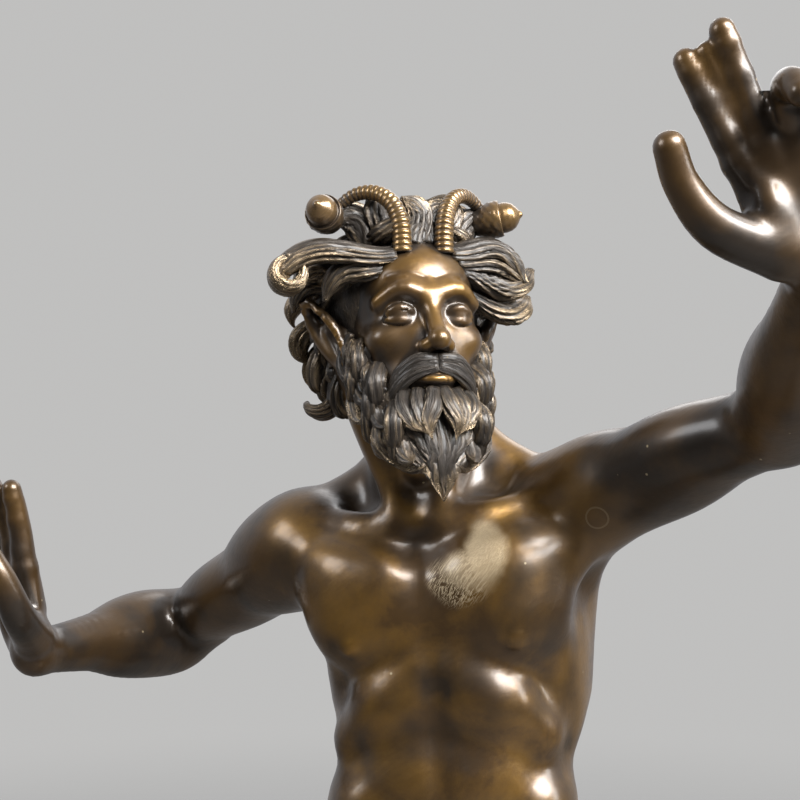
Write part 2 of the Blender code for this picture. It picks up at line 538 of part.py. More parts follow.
def hair_locks():
    """Every lock of the hair, as its line and its radii, in heads."""
    made = []
    jitter = np.random.default_rng(5)

    def lay(start, heading, axis, length, wave, curl, thick, tip=0.45, steps=10, hug=0.0, ring=0.0):
        line = strand(start, heading, axis, length, wave, curl, steps, ring)
        made.append((hugging(line, hug, 0.16), lock_widths(thick, steps, tip)))

    # Curls in rings round the back and sides: count, first and last angle, height, fall, length
    for ring, (count, first, last, height, fall, long) in enumerate((
        (9, 88, 256, -40, 1.0, 0.40), (10, 90, 254, -20, 0.9, 0.44), (10, 94, 252, 0, 0.8, 0.44),
        (10, 84, 272, 20, 0.7, 0.40), (10, 62, 298, 40, 0.6, 0.40), (8, 50, 310, 60, 0.5, 0.38),
        (5, 40, 320, 78, 0.3, 0.34),
    )):
        for i in range(count):
            a = lerp(first, last, (i + 0.5 * (ring % 2)) / (count - 0.5)) + jitter.uniform(-4, 4)
            start, normal = on_skull(a, height + jitter.uniform(-4, 4), 0.98)
            side = unit(np.cross(normal, (0, 0, 1.001)))
            hand = 1 if (i + ring) % 2 else -1
            size = 1 + jitter.uniform(-0.14, 0.14)
            fallen = vec(0, 0, -fall) + normal * fall * normal[2]
            lay(start, normal * 0.3 + fallen + side * 0.7 * hand, normal + side * 0.25 * hand, long * size,
                58 * hand, -hand * jitter.uniform(150, 220), 0.068 * size, hug=0.55)
    # Bunches that the dance flings out behind the right ear
    for i, (a, height, out, drop, length) in enumerate((
        (248, 20, 0.80, 0.40, 0.36), (242, 2, 0.90, 0.60, 0.38), (246, -18, 0.75, 0.85, 0.36),
        (240, -30, 0.75, 0.80, 0.36), (250, -44, 0.60, 0.90, 0.34), (228, -12, 0.90, 0.60, 0.38),
    )):
        start, normal = on_skull(a, height, 0.98)
        hand = 1 if i % 2 else -1
        heading = normal * out + vec(0, 0, -drop)
        lay(start, heading, vec(0.25, hand, 0.2), length, 40 * hand, -150 * hand, 0.072, 0.55)
    for s in (-1, 1):
        # Flames of hair over the brow, between and beside the horns
        for x, y, z, out, back, length, wave, curl in (
            (0.035, -0.265, 0.350, 0.10 + 0.25 * s, 0.10, 0.34, -46, 60),
            (0.070, -0.160, 0.400, 0.35, 0.00, 0.34, 46, -70), (0.200, -0.170, 0.360, 0.70, 0.20, 0.32, -44, 100),
            (0.170, -0.040, 0.420, 0.60, 0.15, 0.32, -45, 120),
            (0.050, -0.010, 0.450, 0.20, 0.40, 0.34, 45, -130),
        ):
            lay((s * x, y, z), (s * out, back, 0.95), (0.35, s, 0.1), length, wave, curl, 0.060, 0.34)
        # Curls that hang behind the ears
        for y, z, drop, length, curl in ((0.15, -0.06, -1.0, 0.36, 180), (0.22, -0.14, -1.2, 0.36, -190)):
            lay((s * 0.290, y, z), (s * 0.60, 0.15, drop), (0.2, s, 0.3), length, 38, curl, 0.062, 0.55)
    # Long locks that stream out at the temples. On the right the first one ends in a rolled ring.
    for s, x, y, z, back, rise, length, wave, curl, ring, tip in (
        (-1, 0.130, -0.275, 0.300, 0.16, -0.34, 0.78, 60, -330, 0.32, 0.42),
        (-1, 0.170, -0.240, 0.240, 0.22, -0.42, 0.44, 40, -60, 0, 0.60),
        (-1, 0.255, -0.130, 0.260, 0.30, -0.10, 0.40, 40, -60, 0, 0.60),
        (-1, 0.270, 0.000, 0.200, 0.35, -0.10, 0.40, 34, -120, 0, 0.60),
        (1, 0.130, -0.275, 0.310, 0.16, -0.05, 0.48, 40, -70, 0, 0.85),
        (1, 0.190, -0.240, 0.240, 0.20, -0.10, 0.46, -40, 60, 0, 0.85),
        (1, 0.240, -0.180, 0.150, 0.20, -0.25, 0.40, -36, 80, 0, 0.85),
        (1, 0.260, -0.040, 0.230, 0.30, 0.10, 0.40, 34, -120, 0, 0.60),
    ):
        lay((s * x, y, z), (s * 1.0, back, rise), (0.1, -s, 0.15), length, wave, curl, 0.074, tip, 16, ring=ring)
    return made


def beard_locks():
    """The locks of the beard and moustache."""
    made = []

    def lay(points, thick, tip=0.45, root=0.75):
        line = flowing([vec(*p) for p in points], [1] * len(points), 4)[0]
        s = np.linspace(0, 1, len(line))
        made.append((line, thick * (root + (1 - root) * np.sin(np.pi * s)) * (1 - (1 - tip) * s**3)))

    for s in (-1, 1):
        # Side whiskers: short curls in tiers, from the ear down the jaw, hooked back and forward by turns
        for tier, (x, y, z) in enumerate((
            (0.292, -0.050, -0.060), (0.286, -0.080, -0.165), (0.272, -0.120, -0.270), (0.240, -0.170, -0.365),
            (0.190, -0.210, -0.445),
        )):
            for i in range(3):
                hook = 1 if (i + tier) % 2 else -1
                x0, y0, z0 = x - 0.032 * i, y - 0.080 * i, z - 0.030 * i
                lay([(s * x0, y0, z0), (s * (x0 + 0.030), y0 - 0.045 * hook, z0 - 0.080),
                     (s * (x0 + 0.026), y0 - 0.015 * hook, z0 - 0.170),
                     (s * (x0 + 0.012), y0 + 0.055 * hook, z0 - 0.200)], 0.043)
        # The tongue of the beard: long waved locks that close to one point
        for i in range(4):
            x0 = 0.035 + 0.055 * i
            lay([(s * x0, -0.300 + 0.024 * i, -0.480 + 0.020 * i), (s * (x0 + 0.035), -0.350 + 0.03 * i, -0.590),
                 (s * (x0 * 0.55), -0.365 + 0.02 * i, -0.700), (s * (0.030 + 0.020 * i), -0.370, -0.780 + 0.02 * i),
                 (s * (0.002 + 0.020 * i), -0.375, -0.870 + 0.055 * i)], 0.045, 0.35)
        # Two tufts on the chin, each of three locks that meet in a point
        for i in range(3):
            x0 = 0.020 + 0.060 * i
            lay([(s * x0, -0.395 + 0.030 * i, -0.370), (s * (x0 + 0.018), -0.430 + 0.026 * i, -0.450),
                 (s * (0.060 + x0 * 0.40), -0.435 + 0.018 * i, -0.530),
                 (s * (0.050 + x0 * 0.15), -0.440, -0.610 + 0.016 * i)], 0.040, 0.40)
        # Moustache: strands from the nose, swept out and down, with a curl at the end
        for i in range(3):
            lay([(s * 0.014, -0.420, -0.238 - 0.014 * i), (s * 0.090, -0.412 + 0.006 * i, -0.240 - 0.026 * i),
                 (s * 0.160, -0.352, -0.290 - 0.024 * i), (s * 0.190, -0.305, -0.365 - 0.016 * i),
                 (s * (0.235 - 0.02 * i), -0.275, -0.390 - 0.03 * i)], 0.030, 0.60)
    return made


def horn_line(s):
    """The line of a short horn that rises from the hair line and sweeps out and back, and its radii."""
    steps = 12
    sweep = math.radians(HORN_SWEEP)
    p, d = vec(s * 0.100, -0.300, 0.300), unit(vec(0.0, -0.20, 1.0))
    axis = vec(-math.sin(sweep), s * math.cos(sweep), 0)
    line = [p]
    for i in range(steps):
        d = about(axis, HORN_TURN * min(1.0, 2.4 * i / steps) * 1.3 / steps) @ d
        p = p + d * HORN_LENGTH / steps
        line.append(p)
    return line, HORN_THICK * (1 - 0.45 * np.linspace(0, 1, steps + 1) ** 1.5)


def acorns():
    """The two fruits in the hair: where each sits and which way it points."""
    return [(vec(-0.440, -0.205, 0.515), unit(vec(-0.45, -0.85, 0.05))),
            (vec(0.425, -0.170, 0.530), unit(vec(0.88, -0.40, 0.10)))]


def add_hair(clay, head, turn):
    def pad(centre, radii):
        clay.ball(head(*centre), vec(*radii) * HEAD_SIZE, 0.05 * HEAD_SIZE, turn)

    pad((0, 0.100, 0.15), (0.375, 0.40, 0.37))
    pad((0, 0.16, -0.10), (0.33, 0.30, 0.30))
    pad((0, -0.185, -0.42), (0.225, 0.185, 0.20))
    clay.roll([head(0, -0.225, -0.48), head(0, -0.305, -0.63), head(0, -0.350, -0.77)],
              vec(0.17, 0.105, 0.045) * HEAD_SIZE, 0.05 * HEAD_SIZE)
    for line, radii in hair_locks() + beard_locks():
        clay.roll([head(*p) for p in line], radii * HEAD_SIZE, HAIR_BLEND * HEAD_SIZE)
    for s in (-1, 1):
        line, radii = horn_line(s)
        clay.roll([head(*p) for p in line], radii * HEAD_SIZE, HAIR_BLEND * HEAD_SIZE)
    for place, way in acorns():
        clay.roll([head(*(place - way * 0.20)), head(*(place - way * 0.06)), head(*place)],
                  vec(0.050, 0.075, 0.090) * HEAD_SIZE, HAIR_BLEND * HEAD_SIZE)
        clay.ball(head(*(place + way * 0.060)), vec(0.066, 0.066, 0.066) * HEAD_SIZE, HAIR_BLEND * HEAD_SIZE)


def add_tail(clay):
    """A short goat's tail that ends in a tuft."""
    line = [on_trunk(0, 0.050, 0.565), on_trunk(0, 0.086, 0.572), on_trunk(0.004, 0.108, 0.558),
            on_trunk(0.010, 0.114, 0.536)]
    clay.roll(line, [0.013, 0.010, 0.0095, 0.009], 0.012, steps=4)
    for side, out, drop in ((-1, 0.016, 0.030), (0, 0.026, 0.038), (1, 0.014, 0.034)):
        clay.roll([line[2], on_trunk(0.010 + 0.010 * side, 0.120, 0.536),
                   on_trunk(0.010 + 0.014 * side, 0.116 + out * 0.3, 0.536 - drop * 0.6),
                   on_trunk(0.012 + 0.010 * side, 0.112 + out, 0.536 - drop)],
                  [0.006, 0.0095, 0.0080, 0.0040], 0.004, steps=4)


def add_leaf(clay):
    """A vine leaf of five lobes."""
    heart = on_trunk(0, -0.052, 0.498)
    turn = trunk_frame(0.50)[1] @ about((1, 0, 0), -14)
    for angle, long, wide in ((180, 0.034, 0.016), (118, 0.030, 0.014), (-118, 0.030, 0.014),
                              (60, 0.026, 0.014), (-60, 0.026, 0.014)):
        way = turn @ vec(math.sin(math.radians(angle)), 0, math.cos(math.radians(angle)))
        across = np.cross(turn @ vec(0, 1, 0), way)
        lobe = np.column_stack([across, turn @ vec(0, 1, 0), way])
        clay.ball(heart + way * long * 0.5, (wide * 0.62, 0.0055, long * 0.56), 0.004, lobe)
    clay.ball(heart + turn @ vec(0, 0.012, 0.004), (0.020, 0.016, 0.026), 0.010, turn)
    clay.roll([on_trunk(0, -0.046, 0.530), heart + turn @ vec(0, -0.002, 0.016)], [0.0045, 0.004], 0.006)


# The dance: where the joints of the limbs are
RIGHT_ARM = vec(-0.083, 0.022, 0.775), vec(-0.186, 0.140, 0.700), vec(-0.266, 0.022, 0.702)
LEFT_ARM = vec(0.090, -0.012, 0.806), vec(0.192, -0.132, 0.861), vec(0.178, -0.252, 0.937)
RIGHT_FOOT = foot_under(-0.055, 0.034, -22, 0)
LEFT_FOOT = foot_under(0.086, -0.040, 14, 13)


def faun_clay():
    clay = Clay()
    head, turn = head_place()
    add_trunk(clay)
    for s, hip, knee, foot, lift in (
        (-1, on_trunk(-0.048, 0.002, 0.525), vec(-0.070, -0.034, 0.277), RIGHT_FOOT, 0),
        (1, on_trunk(0.048, 0.002, 0.525), vec(0.082, -0.092, 0.288), LEFT_FOOT, 13),
    ):
        ankle, ball, way = foot
        add_leg(clay, s, hip, knee, ankle, ball, way, lift)
    add_neck(clay, head)
    for s, (shoulder, elbow, wrist), full in ((-1, RIGHT_ARM, 1.0), (1, LEFT_ARM, 0.5)):
        armpit(clay, s, shoulder, elbow)
        add_arm(clay, s, shoulder, elbow, wrist, full)
    add_hand(clay, -1, RIGHT_ARM[2], vec(-0.24, 0.02, 0.97), vec(-0.80, -0.55, -0.10), (4, 8, 16, 24), 0.25, 1.0)
    add_hand(clay, 1, LEFT_ARM[2], vec(-0.37, -0.12, 0.92), vec(-0.10, -0.98, -0.10), (0, 4, 54, 64), 0.10, 0.7)
    add_tail(clay)
    add_leaf(clay)
    add_skull(clay, head, turn)
    add_hair(clay, head, turn)
    return clay


# From clay to solid

def new_object(name, mesh, collection):
    obj = bpy.data.objects.new(name, mesh)
    collection.objects.link(obj)
    return obj


def evaluated(obj):
    graph = bpy.context.evaluated_depsgraph_get()
    return bpy.data.meshes.new_from_object(obj.evaluated_get(graph))


def remeshed(mesh, voxel):
    """The mesh fused into one even skin."""
    obj = new_object("loose", mesh, bpy.context.scene.collection)
    fuse = obj.modifiers.new("fuse", "REMESH")
    fuse.mode = "VOXEL"
    fuse.voxel_size = voxel
    fused = evaluated(obj)
    bpy.data.objects.remove(obj)
    return fused


def corners_of(mesh):
    p = np.empty(len(mesh.vertices) * 3, np.float32)
    mesh.vertices.foreach_get("co", p)
    return p.reshape(-1, 3).astype(float)


def outer_skin(mesh):
    """The mesh without the walls of closed hollows and loose crumbs, which are its smaller shells."""
    ends = np.empty(len(mesh.edges) * 2, np.int32)
    mesh.edges.foreach_get("vertices", ends)
    first, second = ends.reshape(-1, 2).T
    shell = np.arange(len(mesh.vertices))
    while True:
        lowest = np.minimum(shell[first], shell[second])
        new = shell.copy()
        np.minimum.at(new, first, lowest)
        np.minimum.at(new, second, lowest)
        new = new[new]
        if (new == shell).all():
            break
        shell = new
    kept = shell == np.bincount(shell).argmax()
    bm = bmesh.new()
    bm.from_mesh(mesh)
    bmesh.ops.delete(bm, geom=[v for v, keep in zip(bm.verts, kept) if not keep], context="VERTS")
    bm.to_mesh(mesh)
    bm.free()
    return mesh


def set_corners(mesh, p):
    mesh.vertices.foreach_set("co", p.astype(np.float32).ravel())
    mesh.update()


def unit_ball():
    """Corners and faces of Blender's icosphere, of radius 1."""
    bm = bmesh.new()
    bmesh.ops.create_icosphere(bm, subdivisions=2, radius=1.0)
    corners = np.array([v.co for v in bm.verts])
    faces = np.array([[v.index for v in f.verts] for f in bm.faces])
    bm.free()
    return corners, faces


def skin_of(clay, rough, fine):
    """One closed skin over the clay: balls that fill it are fused, then drawn onto its blended surface."""
    corners, faces = unit_ball()
    places = [m for mass in clay.masses if not mass.cut for m in mass.stand_ins()]
    p = np.concatenate([corners @ m[:3, :3].T + m[:3, 3] for m in places])
    f = np.concatenate([faces + i * len(corners) for i in range(len(places))])
    mesh = bpy.data.meshes.new("masses")
    mesh.from_pydata(p, [], f)
    for voxel in (rough, fine):
        mesh = outer_skin(remeshed(mesh, voxel))
        set_corners(mesh, clay.draw_onto(corners_of(mesh)))
    return mesh


def add_round_base(radius, group):
    """A turned base: a flat ground with a plain lip, a hollow under it, and a rounded foot."""
    foot = radius + BASE_STEP
    foot_round = BASE_FOOT / 2
    profile = [(0, BASE_HEIGHT), (radius - BASE_EDGE, BASE_HEIGHT), (radius, BASE_HEIGHT - BASE_EDGE),
               (radius, BASE_HEIGHT - BASE_LIP)]
    hollow_top, hollow_low = BASE_HEIGHT - BASE_LIP, BASE_FOOT
    for i in range(1, HOLLOW_STEPS):
        t = i / HOLLOW_STEPS
        inward = math.sin(math.pi * t) * BASE_WAIST
        profile.append((lerp(radius, foot - foot_round, t * t) - inward, lerp(hollow_top, hollow_low, t)))
    for i in range(FOOT_STEPS + 1):
        a = math.radians(90 - 90 * i / FOOT_STEPS)
        profile.append((foot - foot_round + foot_round * math.cos(a), foot_round + foot_round * math.sin(a)))
    profile += [(foot, 0), (0, 0)]
    mesh = bpy.data.meshes.new("base")
    mesh.from_pydata([(x, 0, z) for x, z in profile], [(i, i + 1) for i in range(len(profile) - 1)], [])
    base = new_object("base", mesh, group)
    turn = base.modifiers.new("turn", "SCREW")
    turn.steps = turn.render_steps = BASE_SIDES
    turn.use_smooth_shade = False
    turn.use_merge_vertices = True
    turn.merge_threshold = 1e-5
    return base


def stance():
    """The middle and the reach of the circle that holds both feet, in shares of the stature."""
    marks = []
    for ankle, ball, way in (RIGHT_FOOT, LEFT_FOOT):
        across = np.cross(way, (0, 0, 1))
        for w in (-1, 1):
            marks.append((ball + way * TOE_REACH + across * FOOT_WIDE * w)[:2])
            marks.append((ankle - way * HEEL_REACH + across * FOOT_WIDE * 0.7 * w)[:2])
    marks = np.array(marks)
    middle = marks.mean(0)
    for i in range(400):  # steps ever closer to the middle of the smallest circle
        farthest = marks[np.argmax(np.linalg.norm(marks - middle, axis=1))]
        middle = middle + (farthest - middle) / (i + 2)
    return middle, np.linalg.norm(marks - middle, axis=1).max()


def bronze(name, colour, roughness):
    material = bpy.data.materials.new(name)
    material.use_nodes = True
    surface = material.node_tree.nodes["Principled BSDF"]
    surface.inputs["Base Color"].default_value = colour
    surface.inputs["Metallic"].default_value = 1.0
    surface.inputs["Roughness"].default_value = roughness
    return material


def thinned(mesh, triangles, group):
    """The mesh with about this many triangles, more of them where it is finely shaped."""
    obj = new_object("whole", mesh, group)
    thin = obj.modifiers.new("thin", "DECIMATE")
    thin.ratio = min(1.0, triangles / sum(len(f.vertices) - 2 for f in mesh.polygons))
    found = evaluated(obj)
    bpy.data.objects.remove(obj)
    return found


def add_faun(clay, middle, group):
    mesh = thinned(skin_of(clay, ROUGH_VOXEL, SKIN_VOXEL), SKIN_TRIANGLES, group)
    p = corners_of(mesh) - vec(*middle, 0)
    p[:, 2] = np.maximum(p[:, 2], 0.0)  # the soles are flat
    set_corners(mesh, p * STATURE + vec(0, 0, BASE_HEIGHT + SEAT_GAP))
    mesh.shade_smooth()
    return new_object("faun", mesh, group)


def main():
    for obj in list(bpy.data.objects):
        bpy.data.objects.remove(obj)
    group = bpy.data.collections.new("dancing_faun")
    bpy.context.scene.collection.children.link(group)
    middle, reach = stance()
    faun = add_faun(faun_clay(), middle, group)
    faun.data.materials.append(bronze("brown bronze", BRONZE_COLOUR, 0.30))
    base = add_round_base(reach * STATURE + BASE_MARGIN, group)
    base.data.materials.append(bronze("dark bronze", DARK_BRONZE, 0.38))


if __name__ == "__main__":
    main()
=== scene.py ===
import math
import bmesh
import bpy
import numpy as np
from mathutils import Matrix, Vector


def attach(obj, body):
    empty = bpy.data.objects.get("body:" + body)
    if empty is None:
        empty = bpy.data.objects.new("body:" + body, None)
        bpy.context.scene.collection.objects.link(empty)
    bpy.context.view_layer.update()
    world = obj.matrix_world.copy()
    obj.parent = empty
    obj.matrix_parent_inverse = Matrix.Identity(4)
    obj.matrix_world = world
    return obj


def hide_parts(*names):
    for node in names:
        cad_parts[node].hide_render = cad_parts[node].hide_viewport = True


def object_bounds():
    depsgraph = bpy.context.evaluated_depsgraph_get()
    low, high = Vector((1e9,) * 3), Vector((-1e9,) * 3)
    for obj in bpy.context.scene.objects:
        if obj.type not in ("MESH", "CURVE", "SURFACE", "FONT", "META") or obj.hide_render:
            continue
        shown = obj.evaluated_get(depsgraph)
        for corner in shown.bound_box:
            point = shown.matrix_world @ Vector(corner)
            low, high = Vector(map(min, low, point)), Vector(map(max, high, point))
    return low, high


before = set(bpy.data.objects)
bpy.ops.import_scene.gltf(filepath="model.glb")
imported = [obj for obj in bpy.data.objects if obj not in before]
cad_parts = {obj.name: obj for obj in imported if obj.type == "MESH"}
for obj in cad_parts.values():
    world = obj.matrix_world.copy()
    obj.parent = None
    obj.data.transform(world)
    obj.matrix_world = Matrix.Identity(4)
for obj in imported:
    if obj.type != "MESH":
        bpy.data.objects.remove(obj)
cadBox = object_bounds()
print("frame loaded")

# Lengths on the figure are shares of its stature: soles to crown, if the faun stood straight
statue = {
    "stature": 0.700,
    "baseHeight": 0.034,
    "seatGap": 0.0001,
    "footMiddle": (0.0212734, -0.0517677),  # the point between the feet that is over the base's centre
    "roughVoxel": 0.0046,
    "skinVoxel": 0.0042,
    "ballSpacing": 0.6,
}
farAway = 9.0
blendMargin = 0.012  # how far past its own blend a mass is still worked out


def vec(*values):
    return np.array(values, float)


def unit(v):
    return v / np.linalg.norm(v)


def lerp(a, b, t):
    return a + (b - a) * t


def ease(low, high, value):
    t = np.clip((value - low) / (high - low), 0, 1)
    return t * t * (3 - 2 * t)


# The rotation matrix that turns about an axis
def about(axis, degrees):
    x, y, z = unit(np.asarray(axis, float))
    c, s = math.cos(math.radians(degrees)), math.sin(math.radians(degrees))
    k = np.array([[0, -z, y], [z, 0, -x], [-y, x, 0]])
    return np.eye(3) * c + s * k + (1 - c) * np.outer((x, y, z), (x, y, z))


# A smooth curve through the points, and the radius at each of its steps
def flowing(points, radii, steps):
    knots = np.column_stack([np.array(points, float), np.array(radii, float)])
    ends = np.vstack([2 * knots[0] - knots[1], knots, 2 * knots[-1] - knots[-2]])
    found = []
    for i in range(len(knots) - 1):
        a, b, c, d = ends[i : i + 4]
        for t in np.arange(steps) / steps:
            found.append(
                0.5 * (2 * b + (c - a) * t + (2 * a - 5 * b + 4 * c - d) * t**2
                       + (3 * b - a - 3 * c + d) * t**3)
            )
    found.append(knots[-1])
    found = np.array(found)
    return found[:, :3], np.maximum(found[:, 3], 1e-4)


# From the figure's shares to metres in the frame
def inFrame(p):
    lift = statue["baseHeight"] + statue["seatGap"]
    return (np.asarray(p) - vec(*statue["footMiddle"], 0)) * statue["stature"] + vec(0, 0, lift)


# An ellipsoid of clay
class Ball:

    def __init__(self, centre, radii, soft, turn, cut):
        self.centre = np.asarray(centre, float)
        self.radii = np.asarray(radii, float) * np.ones(3)
        self.turn = np.eye(3) if turn is None else turn
        self.soft, self.cut = soft, cut
        self.reach = self.radii.max() + soft + blendMargin

    def distance(self, p):
        q = (p - self.centre) @ self.turn
        inner = np.linalg.norm(q / self.radii, axis=1)
        slope = np.linalg.norm(q / self.radii**2, axis=1)
        return inner * (inner - 1) / np.maximum(slope, 1e-9)

    # The matrices that take a unit ball to this mass
    def standIns(self):
        matrix = np.eye(4)
        matrix[:3, :3] = self.turn * self.radii
        matrix[:3, 3] = self.centre
        return [matrix]


# A roll of clay along a curve, thick or thin by its radii
class Roll:

    def __init__(self, points, radii, soft, cut):
        self.points = np.asarray(points, float)
        self.radii = np.asarray(radii, float)
        self.soft, self.cut = soft, cut
        low, high = self.points.min(0), self.points.max(0)
        self.centre = (low + high) / 2
        self.reach = np.linalg.norm(high - low) / 2 + self.radii.max() + soft + blendMargin

    def distance(self, p):
        best = np.full(len(p), farAway)
        for a, b, ra, rb in zip(self.points, self.points[1:], self.radii, self.radii[1:]):
            run = b - a
            t = np.clip((p - a) @ run / max(run @ run, 1e-12), 0, 1)
            d = np.linalg.norm(p - a - t[:, None] * run, axis=1) - lerp(ra, rb, t)
            best = np.minimum(best, d)
        return best

    # The matrices that take a unit ball to balls set close along this roll
    def standIns(self):
        found = []
        for a, b, ra, rb in zip(self.points, self.points[1:], self.radii, self.radii[1:]):
            count = max(1, math.ceil(np.linalg.norm(b - a) / (statue["ballSpacing"] * max(ra, rb))))
            for t in np.arange(count + 1) / count:
                matrix = np.diag([lerp(ra, rb, t)] * 3 + [1.0])
                matrix[:3, 3] = lerp(a, b, t)
                found.append(matrix)
        return found


# The masses of a figure, in shares of its stature, in the order they are laid on
class Clay:

    def __init__(self):
        self.masses = []

    def ball(self, centre, radii, soft=0.010, turn=None, cut=False):
        self.masses.append(Ball(centre, radii, soft, turn, cut))

    def roll(self, points, radii, soft=0.008, cut=False, steps=1):
        if steps > 1:
            points, radii = flowing(points, radii, steps)
        self.masses.append(Roll(points, radii, soft, cut))

    # Each mass with the points that it can reach
    def near(self, p):
        p = p.astype(np.float32)
        found = []
        for mass in self.masses:
            index = np.flatnonzero(((p - mass.centre.astype(np.float32)) ** 2).sum(1) < mass.reach**2)
            if len(index):
                found.append((mass, index))
        return found

    # How far each point is outside the blended skin. It is negative inside
    def outside(self, p, near):
        d = np.full(len(p), farAway)
        for mass, index in near:
            e, k, old = mass.distance(p[index]), mass.soft, d[index]
            if mass.cut:
                h = np.clip(0.5 - 0.5 * (old + e) / k, 0, 1)
                d[index] = lerp(old, -e, h) + k * h * (1 - h)
            else:
                h = np.clip(0.5 + 0.5 * (e - old) / k, 0, 1)
                d[index] = lerp(e, old, h) - k * h * (1 - h)
        return d

    # Moves points onto the blended skin, along its slope. Points further off than lost stay
    def drawOnto(self, p, rounds=4, step=1e-4, most=0.006, lost=0.05):
        near = self.near(p)
        for _ in range(rounds):
            d = self.outside(p, near)
            slope = np.column_stack(
                [(self.outside(p + step * axis, near) - d) / step for axis in np.eye(3)]
            )
            size = np.maximum((slope**2).sum(1), 0.25)
            move = slope * (d / size)[:, None]
            length = np.linalg.norm(move, axis=1)
            move *= np.minimum(1.0, most / np.maximum(length, 1e-9))[:, None]
            move[np.abs(d) > lost] = 0
            p = p - move
            p[:, 2] = np.maximum(p[:, 2], 0.0)
        return p


# The trunk

trunk = {
    "hipYaw": 8.0,
    "chestYaw": -14.0,
    "hipTilt": -0.05,
    "chestTilt": 0.09,
    "sink": 0.020,  # the bent knees lower the trunk by this much
}


# Where the trunk's middle is at a height, and how it is turned there
def trunkFrame(z):
    up = ease(0.54, 0.70, z)
    yaw = lerp(trunk["hipYaw"], trunk["chestYaw"], up)
    tilt = lerp(trunk["hipTilt"], trunk["chestTilt"], up)
    heights = [0.48, 0.60, 0.72, 0.76, 0.83]
    x = np.interp(z, heights, [0.012, 0.014, 0.016, 0.011, -0.003])
    y = np.interp(z, heights, [0.002, -0.008, 0.000, 0.003, 0.008])
    turn = about((0, 0, 1), yaw) @ about((0, 1, 0), -math.degrees(math.atan(tilt)))
    return vec(x, y, z - trunk["sink"]), turn


# A point of the upright trunk, where the dance takes it
def onTrunk(x, y, z):
    middle, turn = trunkFrame(z)
    return middle + turn @ vec(x, y, 0)


def trunkBall(clay, centre, radii, soft, lean=None, cut=False):
    turn = trunkFrame(centre[2])[1]
    if lean is not None:
        turn = turn @ lean
    clay.ball(onTrunk(*centre), radii, soft, turn, cut)


def trunkRoll(clay, points, radii, soft, cut=False, steps=4):
    clay.roll([onTrunk(*p) for p in points], radii, soft, cut, steps)


